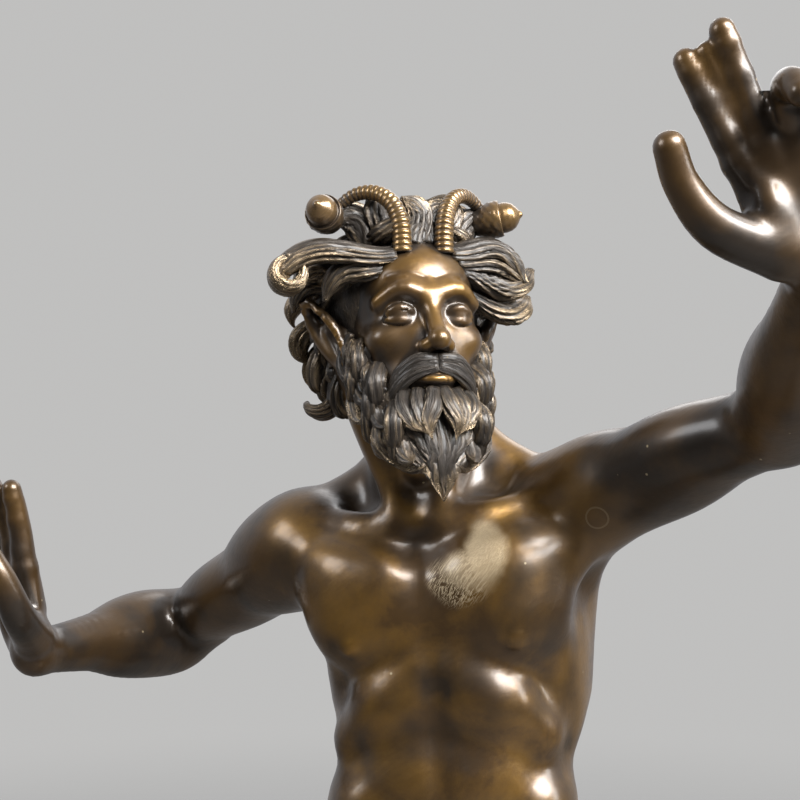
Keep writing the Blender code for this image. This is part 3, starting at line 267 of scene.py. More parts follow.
def addTrunk(clay):
    trunkBall(clay, (0, 0.004, 0.744), (0.073, 0.062, 0.092), 0.02)
    trunkBall(clay, (0, 0.012, 0.788), (0.080, 0.044, 0.034), 0.03)
    trunkBall(clay, (0, 0.000, 0.664), (0.063, 0.051, 0.060), 0.03)
    trunkBall(clay, (0, -0.004, 0.602), (0.065, 0.050, 0.070), 0.03)
    trunkBall(clay, (0, 0.006, 0.545), (0.080, 0.054, 0.058), 0.03)
    trunkBall(clay, (0, -0.012, 0.552), (0.052, 0.046, 0.052), 0.02)
    for s in (-1, 1):
        trunkBall(clay, (s * 0.054, -0.012, 0.634), (0.026, 0.040, 0.034), 0.014)  # oblique
        trunkBall(clay, (s * 0.060, 0.002, 0.582), (0.028, 0.042, 0.044), 0.022)  # hip
        trunkRoll(clay, [(s * 0.076, -0.012, 0.602), (s * 0.056, -0.038, 0.572), (s * 0.022, -0.050, 0.532)],
                  [0.007, 0.012, 0.010], 0.014)  # the groin's ridge
        trunkBall(clay, (s * 0.043, 0.036, 0.520), (0.044, 0.043, 0.049), 0.016)  # buttock
        trunkBall(clay, (s * 0.063, 0.014, 0.726), (0.024, 0.042, 0.066), 0.026)  # flank
        trunkBall(clay, (s * 0.046, 0.046, 0.762), (0.042, 0.022, 0.050), 0.026)  # shoulder blade
        trunkRoll(clay, [(s * 0.024, 0.046, 0.575), (s * 0.020, 0.042, 0.64), (s * 0.024, 0.050, 0.71)],
                  [0.016, 0.017, 0.018], 0.018)  # beside the spine
        # Breast: two sheets of muscle that fan out to the arm
        trunkBall(clay, (s * 0.041, -0.036, 0.760), (0.046, 0.028, 0.040), 0.016,
                  about((0, 1, 0), -s * 18))
        trunkRoll(clay, [(s * 0.030, -0.042, 0.782), (s * 0.064, -0.032, 0.792), (s * 0.090, -0.012, 0.798)],
                  [0.018, 0.020, 0.018], 0.018)
        # Rib arch and the belly's paired muscles
        trunkRoll(clay, [(s * 0.012, -0.050, 0.722), (s * 0.038, -0.046, 0.704), (s * 0.059, -0.030, 0.680)],
                  [0.010, 0.013, 0.012], 0.020)
        trunkBall(clay, (s * 0.025, -0.044, 0.702), (0.027, 0.0160, 0.020), 0.015)
        trunkBall(clay, (s * 0.021, -0.044, 0.657), (0.022, 0.0135, 0.022), 0.022)
        trunkBall(clay, (s * 0.020, -0.045, 0.614), (0.021, 0.0130, 0.020), 0.018)
        trunkBall(clay, (s * 0.020, -0.046, 0.568), (0.022, 0.013, 0.032), 0.014)
        for step in range(4):  # serrations over the ribs
            trunkBall(clay, (s * (0.069 - 0.002 * step), -0.020 + 0.007 * step, 0.738 - 0.019 * step),
                      (0.009, 0.018, 0.0085), 0.012, about((1, 0, 0), -25))
        # Collar bone and the muscle from neck to shoulder
        trunkRoll(clay, [(s * 0.012, -0.034, 0.812), (s * 0.045, -0.032, 0.817), (s * 0.084, -0.002, 0.822)],
                  [0.0070, 0.0065, 0.0085], 0.016)
        trunkRoll(clay, [(s * 0.016, 0.022, 0.868 + 0.003 * s), (s * 0.040, 0.022, 0.838 + 0.005 * s),
                         (s * 0.088, 0.014, 0.818 + 0.002 * s)],
                  [0.020, 0.023, 0.019], 0.022)
    trunkBall(clay, (0, 0.034, 0.818), (0.042, 0.028, 0.046), 0.024)  # nape
    trunkRoll(clay, [(0, -0.074, 0.800), (0, -0.075, 0.760), (0, -0.071, 0.722)],
              [0.004, 0.006, 0.005], 0.014, True)
    trunkRoll(clay, [(0, -0.066, 0.712), (0, -0.066, 0.660), (0, -0.066, 0.612)],
              [0.004, 0.004, 0.003], 0.010, True)
    trunkRoll(clay, [(0, 0.079, 0.800), (0, 0.078, 0.720), (0, 0.068, 0.640), (0, 0.070, 0.58)],
              [0.006, 0.008, 0.010, 0.006], 0.018, True)
    trunkBall(clay, (0, -0.0615, 0.603), (0.0045, 0.008, 0.0055), 0.004, None, True)  # navel
    trunkBall(clay, (0, -0.052, 0.812), (0.008, 0.009, 0.012), 0.022, None, True)  # pit of the neck
    trunkRoll(clay, [(0, 0.092, 0.540), (0, 0.088, 0.500)], [0.006, 0.010], 0.010, True)


def addNeck(clay, head):
    clay.roll([onTrunk(0, 0.016, 0.815), head(0, 0.16, -0.30)], [0.034, 0.033], 0.012)
    for s in (-1, 1):
        middle = lerp(onTrunk(s * 0.018, -0.026, 0.84), head(s * 0.27, 0.10, -0.20), 0.4)
        clay.roll([onTrunk(s * 0.010, -0.036, 0.816), middle, head(s * 0.27, 0.12, -0.18)],
                  [0.0065, 0.009, 0.011], 0.016, steps=4)
    clay.ball(lerp(onTrunk(0, -0.030, 0.83), head(0, -0.14, -0.42), 0.45), (0.010, 0.010, 0.012), 0.014)


# Arms and hands

hands = {
    "size": 1.16,
    "fingers": (  # place across the palm, length, fan
        (0.0175, 0.048, 0.17),
        (0.0058, 0.051, 0.02),
        (-0.0060, 0.047, -0.09),
        (-0.0175, 0.038, -0.22),
    ),
}


# Axes of a limb: its front, its side and its length, as columns
def boneFrame(a, b, front):
    along = unit(b - a)
    front = unit(front - along * (front @ along))
    return np.column_stack([front, np.cross(along, front), along])


# An arm from its three joints. full is how far the forearm's muscle stands out on the thumb's side
def addArm(clay, side, shoulder, elbow, wrist, full):
    upper = boneFrame(shoulder, elbow, wrist - elbow)
    front = upper[:, 0]

    def along(t):
        return lerp(shoulder, elbow, t)

    clay.roll([shoulder, along(0.5), elbow], [0.030, 0.027, 0.0235], 0.014, steps=6)
    clay.ball(along(0.12) + vec(side * 0.003, 0, 0.002), (0.032, 0.034, 0.050), 0.018, upper)
    clay.ball(along(0.57) + front * 0.0100, (0.0235, 0.0235, 0.050), 0.010, upper)
    clay.ball(along(0.44) - front * 0.0100, (0.0260, 0.0280, 0.060), 0.010, upper)
    clay.ball(elbow - front * 0.010, (0.015, 0.017, 0.018), 0.012, upper)
    lower = boneFrame(elbow, wrist, shoulder - elbow)
    across = lower[:, 1] * side
    near, far = lerp(elbow, wrist, 0.30), lerp(elbow, wrist, 0.72)
    clay.roll([elbow, near, far, wrist], [0.0240, 0.0265, 0.0185, 0.0145], 0.010, steps=8)
    clay.ball(near + across * 0.009 * full, (0.0235, 0.0215, 0.052), 0.008, lower)
    clay.ball(lerp(elbow, wrist, 0.26) - across * 0.010, (0.0245, 0.0205, 0.048), 0.008, lower)
    clay.roll([along(0.80) + across * 0.013 * full, lerp(elbow, wrist, 0.12) + across * 0.017 * full,
               lerp(elbow, wrist, 0.48) + across * 0.011 * full], [0.010, 0.0155, 0.010], 0.012, steps=8)


# The folds before and behind the armpit, drawn out to the arm
def armpit(clay, s, shoulder, elbow):
    clay.roll([onTrunk(s * 0.050, -0.038, 0.750), onTrunk(s * 0.068, -0.026, 0.774),
               lerp(shoulder, elbow, 0.34)], [0.018, 0.017, 0.014], 0.016, steps=4)
    clay.roll([onTrunk(s * 0.066, 0.026, 0.700), onTrunk(s * 0.076, 0.026, 0.762),
               lerp(shoulder, elbow, 0.30)], [0.014, 0.018, 0.015], 0.014, steps=4)


# A hand from its wrist. point runs to the fingers, palm is the way it faces, spread fans them
def addHand(clay, side, wrist, point, palm, curls, thumbCurl, spread):
    point = unit(point)
    palm = unit(palm - point * (palm @ point))
    thumb = np.cross(palm, point) * side
    turn = np.column_stack([thumb, palm, point])

    def at(t, n, f):
        return wrist + hands["size"] * (thumb * t + palm * n + point * f)

    clay.ball(at(0, 0, 0.004), vec(0.0165, 0.0120, 0.016) * hands["size"], 0.008, turn)
    clay.ball(at(0, 0, 0.030), vec(0.0235, 0.0085, 0.036) * hands["size"], 0.008, turn)
    clay.ball(at(0.013, 0.0065, 0.020), vec(0.0090, 0.0080, 0.020) * hands["size"], 0.006, turn)
    clay.ball(at(-0.013, 0.0055, 0.022), vec(0.0080, 0.0070, 0.022) * hands["size"], 0.006, turn)
    for (place, length, fan), curl in zip(hands["fingers"], curls):
        p = at(place, 0.0, 0.052 - 8 * place**2)
        clay.roll([at(place * 0.6, -0.001, 0.026), p], vec(0.0070, 0.0074) * hands["size"], 0.005)
        line, radii, angle, pads = [p], [0.0070], -6.0, []
        ahead = unit(point + thumb * fan * spread)
        for share, bend, r in ((0.42, 0.6, 0.0066), (0.32, 1.0, 0.0061), (0.22, 0.7, 0.0056)):
            angle += curl * bend
            a = math.radians(angle)
            way = ahead * math.cos(a) + palm * math.sin(a)
            inward = palm * math.cos(a) - ahead * math.sin(a)
            step = hands["size"] * length * share
            lean = np.column_stack([np.cross(inward, way), inward, way])
            pads.append((p + way * step * 0.52 + inward * 0.0016, vec(r * 1.06, r * 0.95, step * 0.36), lean))
            p = p + way * step
            line.append(p)
            radii.append(r * 0.96)
        clay.roll(line, vec(*radii) * hands["size"], 0.0025, steps=4)
        for middle, size, lean in pads:
            clay.ball(middle, size, 0.0025, lean)
    web = lerp(hands["fingers"][0][0], hands["fingers"][1][0], 0.5)
    webLine = [at(web, -0.0015, 0.050), at(web * 1.26, -0.0020, 0.096)]
    clay.roll(webLine, vec(0.0058, 0.0036) * hands["size"], 0.003)
    base = at(0.016, 0.004, 0.010)
    splay = 0.16 + 0.64 * spread
    first = base + hands["size"] * 0.030 * unit(thumb * splay + point * 0.58 + palm * (0.20 + thumbCurl))
    splay = 0.12 + 0.30 * spread - thumbCurl * 0.3
    second = first + hands["size"] * 0.022 * unit(thumb * splay + point * 0.87 + palm * thumbCurl)
    splay = 0.02 - thumbCurl * 0.3
    tip = second + hands["size"] * 0.016 * unit(thumb * splay + point * 0.98 + palm * thumbCurl)
    clay.roll([base, first, second, tip], vec(0.0110, 0.0092, 0.0074, 0.0066) * hands["size"], 0.006, steps=6)


# Legs and feet

feet = {
    "ankleBack": 0.078,  # from the ball of the foot
    "ankleUp": 0.047,
}


# The ankle and the ball of a foot that stands on the ground, its heel lifted by some degrees
def footUnder(ankleX, ankleY, heading, lift):
    a = math.radians(lift)
    way = about((0, 0, 1), heading) @ vec(0, -1, 0)
    ahead = feet["ankleBack"] * math.cos(a) - feet["ankleUp"] * math.sin(a)
    ankle = vec(ankleX, ankleY, feet["ankleBack"] * math.sin(a) + feet["ankleUp"] * math.cos(a))
    ball = vec(ankleX, ankleY, 0) + way * ahead
    return ankle, ball, way


def addLeg(clay, side, hip, knee, ankle, ball, way, lift):
    thigh = boneFrame(hip, knee, way)
    front, across = thigh[:, 0], thigh[:, 1]
    inner = across * (-side if across[0] > 0 else side)
    clay.roll([hip, lerp(hip, knee, 0.35), lerp(hip, knee, 0.75), knee], [0.046, 0.043, 0.033, 0.027],
              0.022, steps=3)
    clay.ball(lerp(hip, knee, 0.42) + front * 0.013, (0.034, 0.036, 0.098), 0.014, thigh)
    clay.ball(lerp(hip, knee, 0.50) - inner * 0.018 + front * 0.004, (0.028, 0.020, 0.080), 0.012, thigh)
    clay.ball(lerp(hip, knee, 0.84) + inner * 0.013 + front * 0.008, (0.015, 0.013, 0.028), 0.010, thigh)
    clay.ball(lerp(hip, knee, 0.80) - inner * 0.014 + front * 0.008, (0.013, 0.012, 0.026), 0.010, thigh)
    clay.ball(lerp(hip, knee, 0.48) - front * 0.017, (0.024, 0.033, 0.085), 0.012, thigh)
    clay.ball(lerp(hip, knee, 0.22) + inner * 0.018, (0.032, 0.022, 0.055), 0.016, thigh)
    shin = boneFrame(knee, ankle, way)
    sf = shin[:, 0]
    clay.ball(knee + front * 0.014 - vec(0, 0, 0.002), (0.0125, 0.0150, 0.0185), 0.010, shin)
    clay.roll([knee, lerp(knee, ankle, 0.28), lerp(knee, ankle, 0.70), ankle],
              [0.0275, 0.0270, 0.0185, 0.0165], 0.012, steps=3)
    clay.ball(lerp(knee, ankle, 0.29) - sf * 0.013 + inner * 0.010, (0.024, 0.0215, 0.058), 0.010, shin)
    clay.ball(lerp(knee, ankle, 0.26) - sf * 0.013 - inner * 0.010, (0.023, 0.0210, 0.052), 0.010, shin)
    clay.roll([lerp(knee, ankle, 0.10) + sf * 0.018, lerp(knee, ankle, 0.5) + sf * 0.013, ankle + sf * 0.006],
              [0.008, 0.008, 0.008], 0.010)
    # Foot
    a = math.radians(lift)
    back, up = -way * math.cos(a) + vec(0, 0, math.sin(a)), way * math.sin(a) + vec(0, 0, math.cos(a))

    def sole(b, u, w=0.0):
        return ball + back * b + up * u + w * np.cross(up, back) * (-side)

    clay.roll([lerp(knee, ankle, 0.62) - sf * 0.013, sole(0.094, 0.040), sole(0.098, 0.020)],
              [0.0085, 0.0075, 0.012], 0.012, steps=3)
    clay.ball(sole(0.093, 0.018), (0.019, 0.0175, 0.018), 0.012)
    for w in (-1, 1):
        clay.ball(sole(0.079, feet["ankleUp"] + 0.002 * w, 0.0155 * w), 0.0068, 0.008)
    clay.roll([sole(0.080, 0.036), sole(0.045, 0.026, 0.003), sole(0.004, 0.015, 0.004)],
              [0.018, 0.0175, 0.0125], 0.012, steps=3)
    clay.roll([sole(0.085, 0.012, -0.006), sole(0.045, 0.010, -0.012), sole(0.004, 0.010, -0.013)],
              [0.012, 0.0095, 0.0105], 0.010, steps=3)
    clay.ball(sole(-0.002, 0.012, 0.002), (0.020, 0.020, 0.0115), 0.010)
    right = np.cross(way, vec(0, 0, 1))
    lean = right * (-side)  # towards the big toe
    for toe in range(5):
        w = 0.0165 - 0.0088 * toe
        long = 0.040 - 0.0045 * toe - (0.004 if toe == 0 else 0)
        r = 0.0088 if toe == 0 else 0.0062 - 0.0003 * toe
        root = ball + lean * (w + 0.002) + vec(0, 0, 0.0115) + way * 0.004
        tip = ball + lean * (w * 1.15 + 0.002) + way * long + vec(0, 0, r * 0.8)
        middle = lerp(root, tip, 0.55) + vec(0, 0, 0.0030)
        clay.roll([root, middle, tip], [r * 1.05, r, r * 0.95], 0.004, steps=3)


# Head. Points on it are in heads: x to the faun's left, y back, z up

headForm = {
    "size": 1 / 7.4,
    "yaw": 15.0,
    "pitch": 13.0,
}
headSize = headForm["size"]
scalp = (0.345, 0.400, 0.350)
scalpMiddle = (0.0, 0.07, 0.13)


def headPlace():
    turn = about((0, 0, 1), headForm["yaw"]) @ about((1, 0, 0), -headForm["pitch"])
    centre = vec(-0.014, -0.014, 0.935 - trunk["sink"])

    def place(x, y, z):
        return centre + headSize * (turn @ vec(x, y, z))

    return place, turn


# What lays balls and rolls on the head, with places and sizes in heads
def headTools(clay, head, turn, detail):
    def ball(c, r, soft, extra=None, cut=False):
        lean = turn if extra is None else turn @ extra
        clay.ball(head(*c), vec(*r) * headSize, soft * headSize, lean, cut)

    def roll(points, radii, soft, cut=False, steps=detail):
        clay.roll([head(*p) for p in points], vec(*radii) * headSize, soft * headSize, cut, steps)

    return ball, roll


def addSkull(clay, head, turn):
    ball, roll = headTools(clay, head, turn, 3)
    ball((0, 0.07, 0.13), (0.325, 0.385, 0.350), 0.10)
    ball((0, -0.13, -0.10), (0.255, 0.255, 0.34), 0.12)
    ball((0, -0.17, 0.19), (0.235, 0.200, 0.190), 0.10)
    ball((0, -0.15, -0.32), (0.205, 0.205, 0.155), 0.10)
    for s in (-1, 1):
        ball((s * 0.190, -0.235, -0.105), (0.075, 0.080, 0.060), 0.08)
        roll([(s * 0.045, -0.372, 0.078), (s * 0.140, -0.366, 0.106), (s * 0.235, -0.290, 0.060)],
             [0.024, 0.027, 0.012], 0.09)
        ball((s * 0.135, -0.408, -0.004), (0.070, 0.058, 0.042), 0.06, None, True)
        ball((s * 0.135, -0.318, -0.002), (0.062, 0.058, 0.048), 0.02)
    roll([(0, -0.365, 0.060), (0, -0.405, -0.040), (0, -0.462, -0.150)], [0.036, 0.036, 0.044], 0.04)
    ball((0, -0.470, -0.160), (0.044, 0.046, 0.042), 0.03)
    for s in (-1, 1):
        ball((s * 0.052, -0.415, -0.178), (0.032, 0.048, 0.032), 0.03)
    ball((0, -0.345, -0.285), (0.105, 0.060, 0.060), 0.05)
    roll([(-0.075, -0.375, -0.318), (0, -0.405, -0.322), (0.075, -0.375, -0.318)],
         [0.016, 0.026, 0.016], 0.02)
    for s in (-1, 1):  # pointed ears
        roll([(s * 0.320, 0.050, -0.170), (s * 0.385, 0.110, -0.050), (s * 0.445, 0.130, 0.070),
              (s * 0.510, 0.070, 0.190)], [0.030, 0.038, 0.036, 0.020], 0.03)
        roll([(s * 0.315, -0.010, -0.170), (s * 0.350, -0.030, -0.050), (s * 0.415, -0.010, 0.070),
              (s * 0.510, 0.065, 0.190)], [0.030, 0.026, 0.026, 0.020], 0.03)
        ball((s * 0.360, 0.055, -0.020), (0.028, 0.070, 0.110), 0.04, about((0, 1, 0), s * 20))
        ball((s * 0.330, 0.025, -0.170), (0.030, 0.042, 0.046), 0.03)


horns = {
    "turn": 140,  # degrees from root to tip
    "sweep": 46,  # degrees back from straight out to the side
    "length": 0.56,
    "thick": 0.048,
    "rings": 22,
}
hair = {
    "blend": 0.016,
    "lift": 0.16,  # how far the middle of a curl stands off the scalp
    "core": 0.55,  # share of a lock's thickness that is in the mass under the hair
    "shade": 0.65,  # the same where the locks shade one another
    "wisps": 150,
}
beard = {
    "tongueWisps": 64,
    "jawWisps": 70,
}


# A place on the scalp and the way it faces. 0 degrees round is the brow, and plus is the faun's left
def onSkull(roundAngle, heightAngle, out=1.0):
    a, e = math.radians(roundAngle), math.radians(heightAngle)
    way = vec(math.sin(a) * math.cos(e), -math.cos(a) * math.cos(e), math.sin(e))
    return vec(*scalpMiddle) + way * vec(*scalp) * out, unit(way / vec(*scalp))


# The line of a lock: it waves once, then curls towards its tip. ring is the share that is rolled up evenly
def strand(start, heading, axis, length, wave, curl, steps, ring=0.0):
    p, d, line = np.array(start, float), unit(heading), [np.array(start, float)]
    for i in range(steps):
        s = (i + 0.5) / steps
        tightening = 3 * s**2
        if ring:
            tightening = (s > 1 - ring) / ring
        d = about(axis, wave * math.cos(2 * math.pi * s) * 3 / steps + curl * tightening / steps) @ d
        p = p + d * length * (1.25 - 0.5 * s) / steps
        line.append(p)
    return line


# The line pressed towards the scalp, and lifted a little in the middle
def hugging(line, amount, lift):
    found = []
    for i, p in enumerate(line):
        q = (p - vec(*scalpMiddle)) / vec(*scalp)
        far = np.linalg.norm(q)
        wanted = 1.0 + lift * math.sin(math.pi * min(1.0, 1.1 * i / (len(line) - 1)))
        found.append(vec(*scalpMiddle) + q * lerp(far, wanted, amount) / far * vec(*scalp))
    return found


# The line bent back where it would cross an ear
def behindEars(line):
    q = np.array(line)
    beside = (np.abs(q[:, 0]) > 0.27) & (q[:, 2] > -0.24) & (q[:, 2] < 0.20)
    q[:, 1] = np.where(beside, np.maximum(q[:, 1], 0.15), q[:, 1])
    return q


# Narrow at the root, full in the middle, drawn in at the tip
def lockWidths(thick, steps, tip):
    s = np.linspace(0, 1, steps + 1)
    return thick * (0.65 + 0.35 * np.sin(np.pi * np.minimum(1, s * 1.2))) * (1 - (1 - tip) * s**3)


# Every lock of the hair, as its line and its radii, in heads
def hairLocks():
    made = []
    jitter = np.random.default_rng(5)

    def lay(start, heading, axis, length, wave, curl, thick, tip=0.45, steps=10, hug=0.0, ring=0.0):
        line = strand(start, heading, axis, length, wave, curl, steps, ring)
        line = hugging(line, hug, hair["lift"])
        made.append((behindEars(line) if hug else line, lockWidths(thick, steps, tip)))

    # Curls in rings round the back and sides: count, first and last angle, height, fall, length
    for ring, (count, first, last, height, fall, long) in enumerate((
        (9, 88, 256, -40, 1.0, 0.40), (10, 90, 254, -20, 0.9, 0.44), (10, 94, 252, 0, 0.8, 0.44),
        (10, 84, 272, 20, 0.7, 0.40), (10, 62, 298, 40, 0.6, 0.40), (8, 50, 310, 60, 0.5, 0.38),
        (5, 40, 320, 78, 0.3, 0.34),
    )):
        for i in range(count):
            a = lerp(first, last, (i + 0.5 * (ring % 2)) / (count - 0.5)) + jitter.uniform(-4, 4)
            start, normal = onSkull(a, height + jitter.uniform(-4, 4), 0.98)
            side = unit(np.cross(normal, (0, 0, 1.001)))
            hand = 1 if (i + ring) % 2 else -1
            size = 1 + jitter.uniform(-0.14, 0.14)
            fallen = vec(0, 0, -fall) + normal * fall * normal[2]
            lay(start, normal * 0.3 + fallen + side * 0.7 * hand, normal + side * 0.25 * hand, long * size,
                58 * hand, -hand * jitter.uniform(150, 220), 0.068 * size, hug=0.55)
    # Bunches that the dance flings out behind the right ear
    for i, (a, height, out, drop, length) in enumerate((
        (248, 20, 0.80, 0.40, 0.36), (242, 2, 0.90, 0.60, 0.38), (246, -18, 0.75, 0.85, 0.36),
        (240, -30, 0.75, 0.80, 0.36), (250, -44, 0.60, 0.90, 0.34), (228, -12, 0.90, 0.60, 0.38),
    )):
        start, normal = onSkull(a, height, 0.98)
        hand = 1 if i % 2 else -1
        heading = normal * out + vec(0, 0, -drop)
        lay(start, heading, vec(0.25, hand, 0.2), length, 40 * hand, -150 * hand, 0.072, 0.55)
    for s in (-1, 1):
        # Flames of hair over the brow, between and beside the horns
        for x, y, z, out, back, length, wave, curl in (
            (0.045, -0.265, 0.350, 0.10 + 0.25 * s, 0.10, 0.30, -50, 90),
            (0.080, -0.160, 0.400, 0.40, 0.00, 0.32, 50, -110),
            (0.200, -0.170, 0.360, 0.70, 0.20, 0.32, -44, 100),
            (0.170, -0.040, 0.420, 0.60, 0.15, 0.32, -45, 120),
            (0.050, -0.010, 0.450, 0.20, 0.40, 0.34, 45, -130),
        ):
            lay((s * x, y, z), (s * out, back, 0.95), (0.35, s, 0.1), length, wave, curl, 0.064, 0.50)
        # Curls that hang behind the ears
        for y, z, drop, length, curl in ((0.15, -0.06, -1.0, 0.36, 180), (0.22, -0.14, -1.2, 0.36, -190)):
            lay((s * 0.290, y, z), (s * 0.60, 0.15, drop), (0.2, s, 0.3), length, 38, curl, 0.062, 0.55)
    # Long locks that stream out at the temples. On the right the first one ends in a rolled ring.
    for s, x, y, z, back, rise, length, wave, curl, ring, tip in (
        (-1, 0.130, -0.275, 0.300, 0.16, -0.34, 0.78, 60, -330, 0.32, 0.42),
        (-1, 0.170, -0.240, 0.240, 0.22, -0.26, 0.36, 40, -60, 0, 0.60),
        (-1, 0.255, -0.130, 0.260, 0.30, -0.02, 0.38, 40, -50, 0, 0.60),
        (-1, 0.270, 0.000, 0.220, 0.40, 0.06, 0.38, 34, -100, 0, 0.60),
        (1, 0.130, -0.275, 0.310, 0.16, -0.05, 0.48, 40, -70, 0, 0.85),
        (1, 0.160, -0.260, 0.280, 0.18, -0.14, 0.42, 30, -30, 0, 0.85),
        (1, 0.190, -0.240, 0.240, 0.20, -0.10, 0.46, -40, 60, 0, 0.85),
        (1, 0.240, -0.180, 0.150, 0.20, -0.25, 0.40, -36, 80, 0, 0.85),
        (1, 0.260, -0.040, 0.230, 0.30, 0.10, 0.40, 34, -120, 0, 0.60),
    ):
        lay((s * x, y, z), (s * 1.0, back, rise), (0.1, -s, 0.15), length, wave, curl, 0.074, tip, 16,
            ring=ring)
    return made


# The locks of the beard and moustache
def beardLocks():
    made = []

    def lay(points, thick, tip=0.45, root=0.75):
        line = flowing([vec(*p) for p in points], [1] * len(points), 4)[0]
        s = np.linspace(0, 1, len(line))
        made.append((line, thick * (root + (1 - root) * np.sin(np.pi * s)) * (1 - (1 - tip) * s**3)))

    for s in (-1, 1):
        # Side whiskers: short curls in tiers, from the ear down the jaw, hooked back and forward by turns
        for tier, (x, y, z) in enumerate((
            (0.292, -0.050, -0.060), (0.286, -0.080, -0.165), (0.272, -0.120, -0.270),
            (0.240, -0.170, -0.365), (0.190, -0.210, -0.445),
        )):
            for i in range(3):
                hook = 1 if (i + tier) % 2 else -1
                x0, y0, z0 = x - 0.032 * i, y - 0.080 * i, z - 0.030 * i
                lay([(s * x0, y0, z0), (s * (x0 + 0.030), y0 - 0.045 * hook, z0 - 0.080),
                     (s * (x0 + 0.026), y0 - 0.015 * hook, z0 - 0.170),
                     (s * (x0 + 0.012), y0 + 0.055 * hook, z0 - 0.200)], 0.043)
        # The tongue of the beard: long waved locks that close to one point
        for i in range(4):
            x0 = 0.035 + 0.055 * i
            lay([(s * x0, -0.300 + 0.024 * i, -0.480 + 0.020 * i),
                 (s * (x0 + 0.035), -0.350 + 0.03 * i, -0.590),
                 (s * (x0 * 0.55), -0.365 + 0.02 * i, -0.700),
                 (s * (0.030 + 0.020 * i), -0.370, -0.780 + 0.02 * i),
                 (s * (0.002 + 0.020 * i), -0.375, -0.870 + 0.055 * i)], 0.045, 0.35)
        # Two tufts on the chin, each of three locks that meet in a point
        for i in range(3):
            x0 = 0.020 + 0.060 * i
            lay([(s * x0, -0.395 + 0.030 * i, -0.370), (s * (x0 + 0.018), -0.430 + 0.026 * i, -0.450),
                 (s * (0.060 + x0 * 0.40), -0.435 + 0.018 * i, -0.530),
                 (s * (0.050 + x0 * 0.15), -0.440, -0.610 + 0.016 * i)], 0.040, 0.40)
        # Moustache: strands from the nose, swept out and down, with a curl at the end
        for i in range(3):
            lay([(s * 0.002, -0.424, -0.240 - 0.014 * i), (s * 0.090, -0.412 + 0.006 * i, -0.240 - 0.026 * i),
                 (s * 0.160, -0.352, -0.290 - 0.024 * i), (s * 0.190, -0.305, -0.365 - 0.016 * i),
                 (s * (0.235 - 0.02 * i), -0.275, -0.390 - 0.03 * i)], 0.030, 0.60)
    return made


# The line of a short horn that rises from the hair line and sweeps out and back, and its radii
def hornLine(s):
    steps = 12
    sweep = math.radians(horns["sweep"])
    p, d = vec(s * 0.100, -0.300, 0.300), unit(vec(0.0, -0.20, 1.0))
    axis = vec(-math.sin(sweep), s * math.cos(sweep), 0)
    line = [p]
    for i in range(steps):
        d = about(axis, horns["turn"] * min(1.0, 2.4 * i / steps) * 1.3 / steps) @ d
        p = p + d * horns["length"] / steps
        line.append(p)
    return line, horns["thick"] * (1 - 0.45 * np.linspace(0, 1, steps + 1) ** 1.5)


# The two fruits in the hair: where each sits and which way it points
def acorns():
    return [(vec(-0.440, -0.205, 0.515), unit(vec(-0.45, -0.85, 0.05))),
            (vec(0.425, -0.170, 0.530), unit(vec(0.88, -0.40, 0.10)))]


# A short goat's tail that ends in a tuft
def addTail(clay):
    line = [onTrunk(0, 0.050, 0.565), onTrunk(0, 0.086, 0.572), onTrunk(0.004, 0.108, 0.558),
            onTrunk(0.010, 0.114, 0.536)]
    clay.roll(line, [0.013, 0.010, 0.0095, 0.009], 0.012, steps=4)
    for side, out, drop in ((-1, 0.016, 0.030), (0, 0.026, 0.038), (1, 0.014, 0.034)):
        clay.roll([line[2], onTrunk(0.010 + 0.010 * side, 0.120, 0.536),
                   onTrunk(0.010 + 0.014 * side, 0.116 + out * 0.3, 0.536 - drop * 0.6),
                   onTrunk(0.012 + 0.010 * side, 0.112 + out, 0.536 - drop)],
                  [0.006, 0.0095, 0.0080, 0.0040], 0.004, steps=4)


# A vine leaf of five lobes
def addLeaf(clay):
    heart = onTrunk(0, -0.052, 0.498)
    turn = trunkFrame(0.50)[1] @ about((1, 0, 0), -14)
    for angle, long, wide in ((180, 0.034, 0.016), (118, 0.030, 0.014), (-118, 0.030, 0.014),
                              (60, 0.026, 0.014), (-60, 0.026, 0.014)):
        way = turn @ vec(math.sin(math.radians(angle)), 0, math.cos(math.radians(angle)))
        across = np.cross(turn @ vec(0, 1, 0), way)
        lobe = np.column_stack([across, turn @ vec(0, 1, 0), way])
        clay.ball(heart + way * long * 0.5, (wide * 0.62, 0.0055, long * 0.56), 0.004, lobe)
    clay.ball(heart + turn @ vec(0, 0.012, 0.004), (0.020, 0.016, 0.026), 0.010, turn)
    clay.roll([onTrunk(0, -0.046, 0.530), heart + turn @ vec(0, -0.002, 0.016)], [0.0045, 0.004], 0.006)


def newObject(name, mesh, collection):
    obj = bpy.data.objects.new(name, mesh)
    collection.objects.link(obj)
    return obj


def evaluated(obj):
    graph = bpy.context.evaluated_depsgraph_get()
    return bpy.data.meshes.new_from_object(obj.evaluated_get(graph))


# The mesh fused into one even skin
def remeshed(mesh, voxel):
    obj = newObject("loose", mesh, bpy.context.scene.collection)
    fuse = obj.modifiers.new("fuse", "REMESH")
    fuse.mode = "VOXEL"
    fuse.voxel_size = voxel
    fused = evaluated(obj)
    bpy.data.objects.remove(obj)
    return fused


def cornersOf(mesh):
    p = np.empty(len(mesh.vertices) * 3, np.float32)
    mesh.vertices.foreach_get("co", p)
    return p.reshape(-1, 3).astype(float)


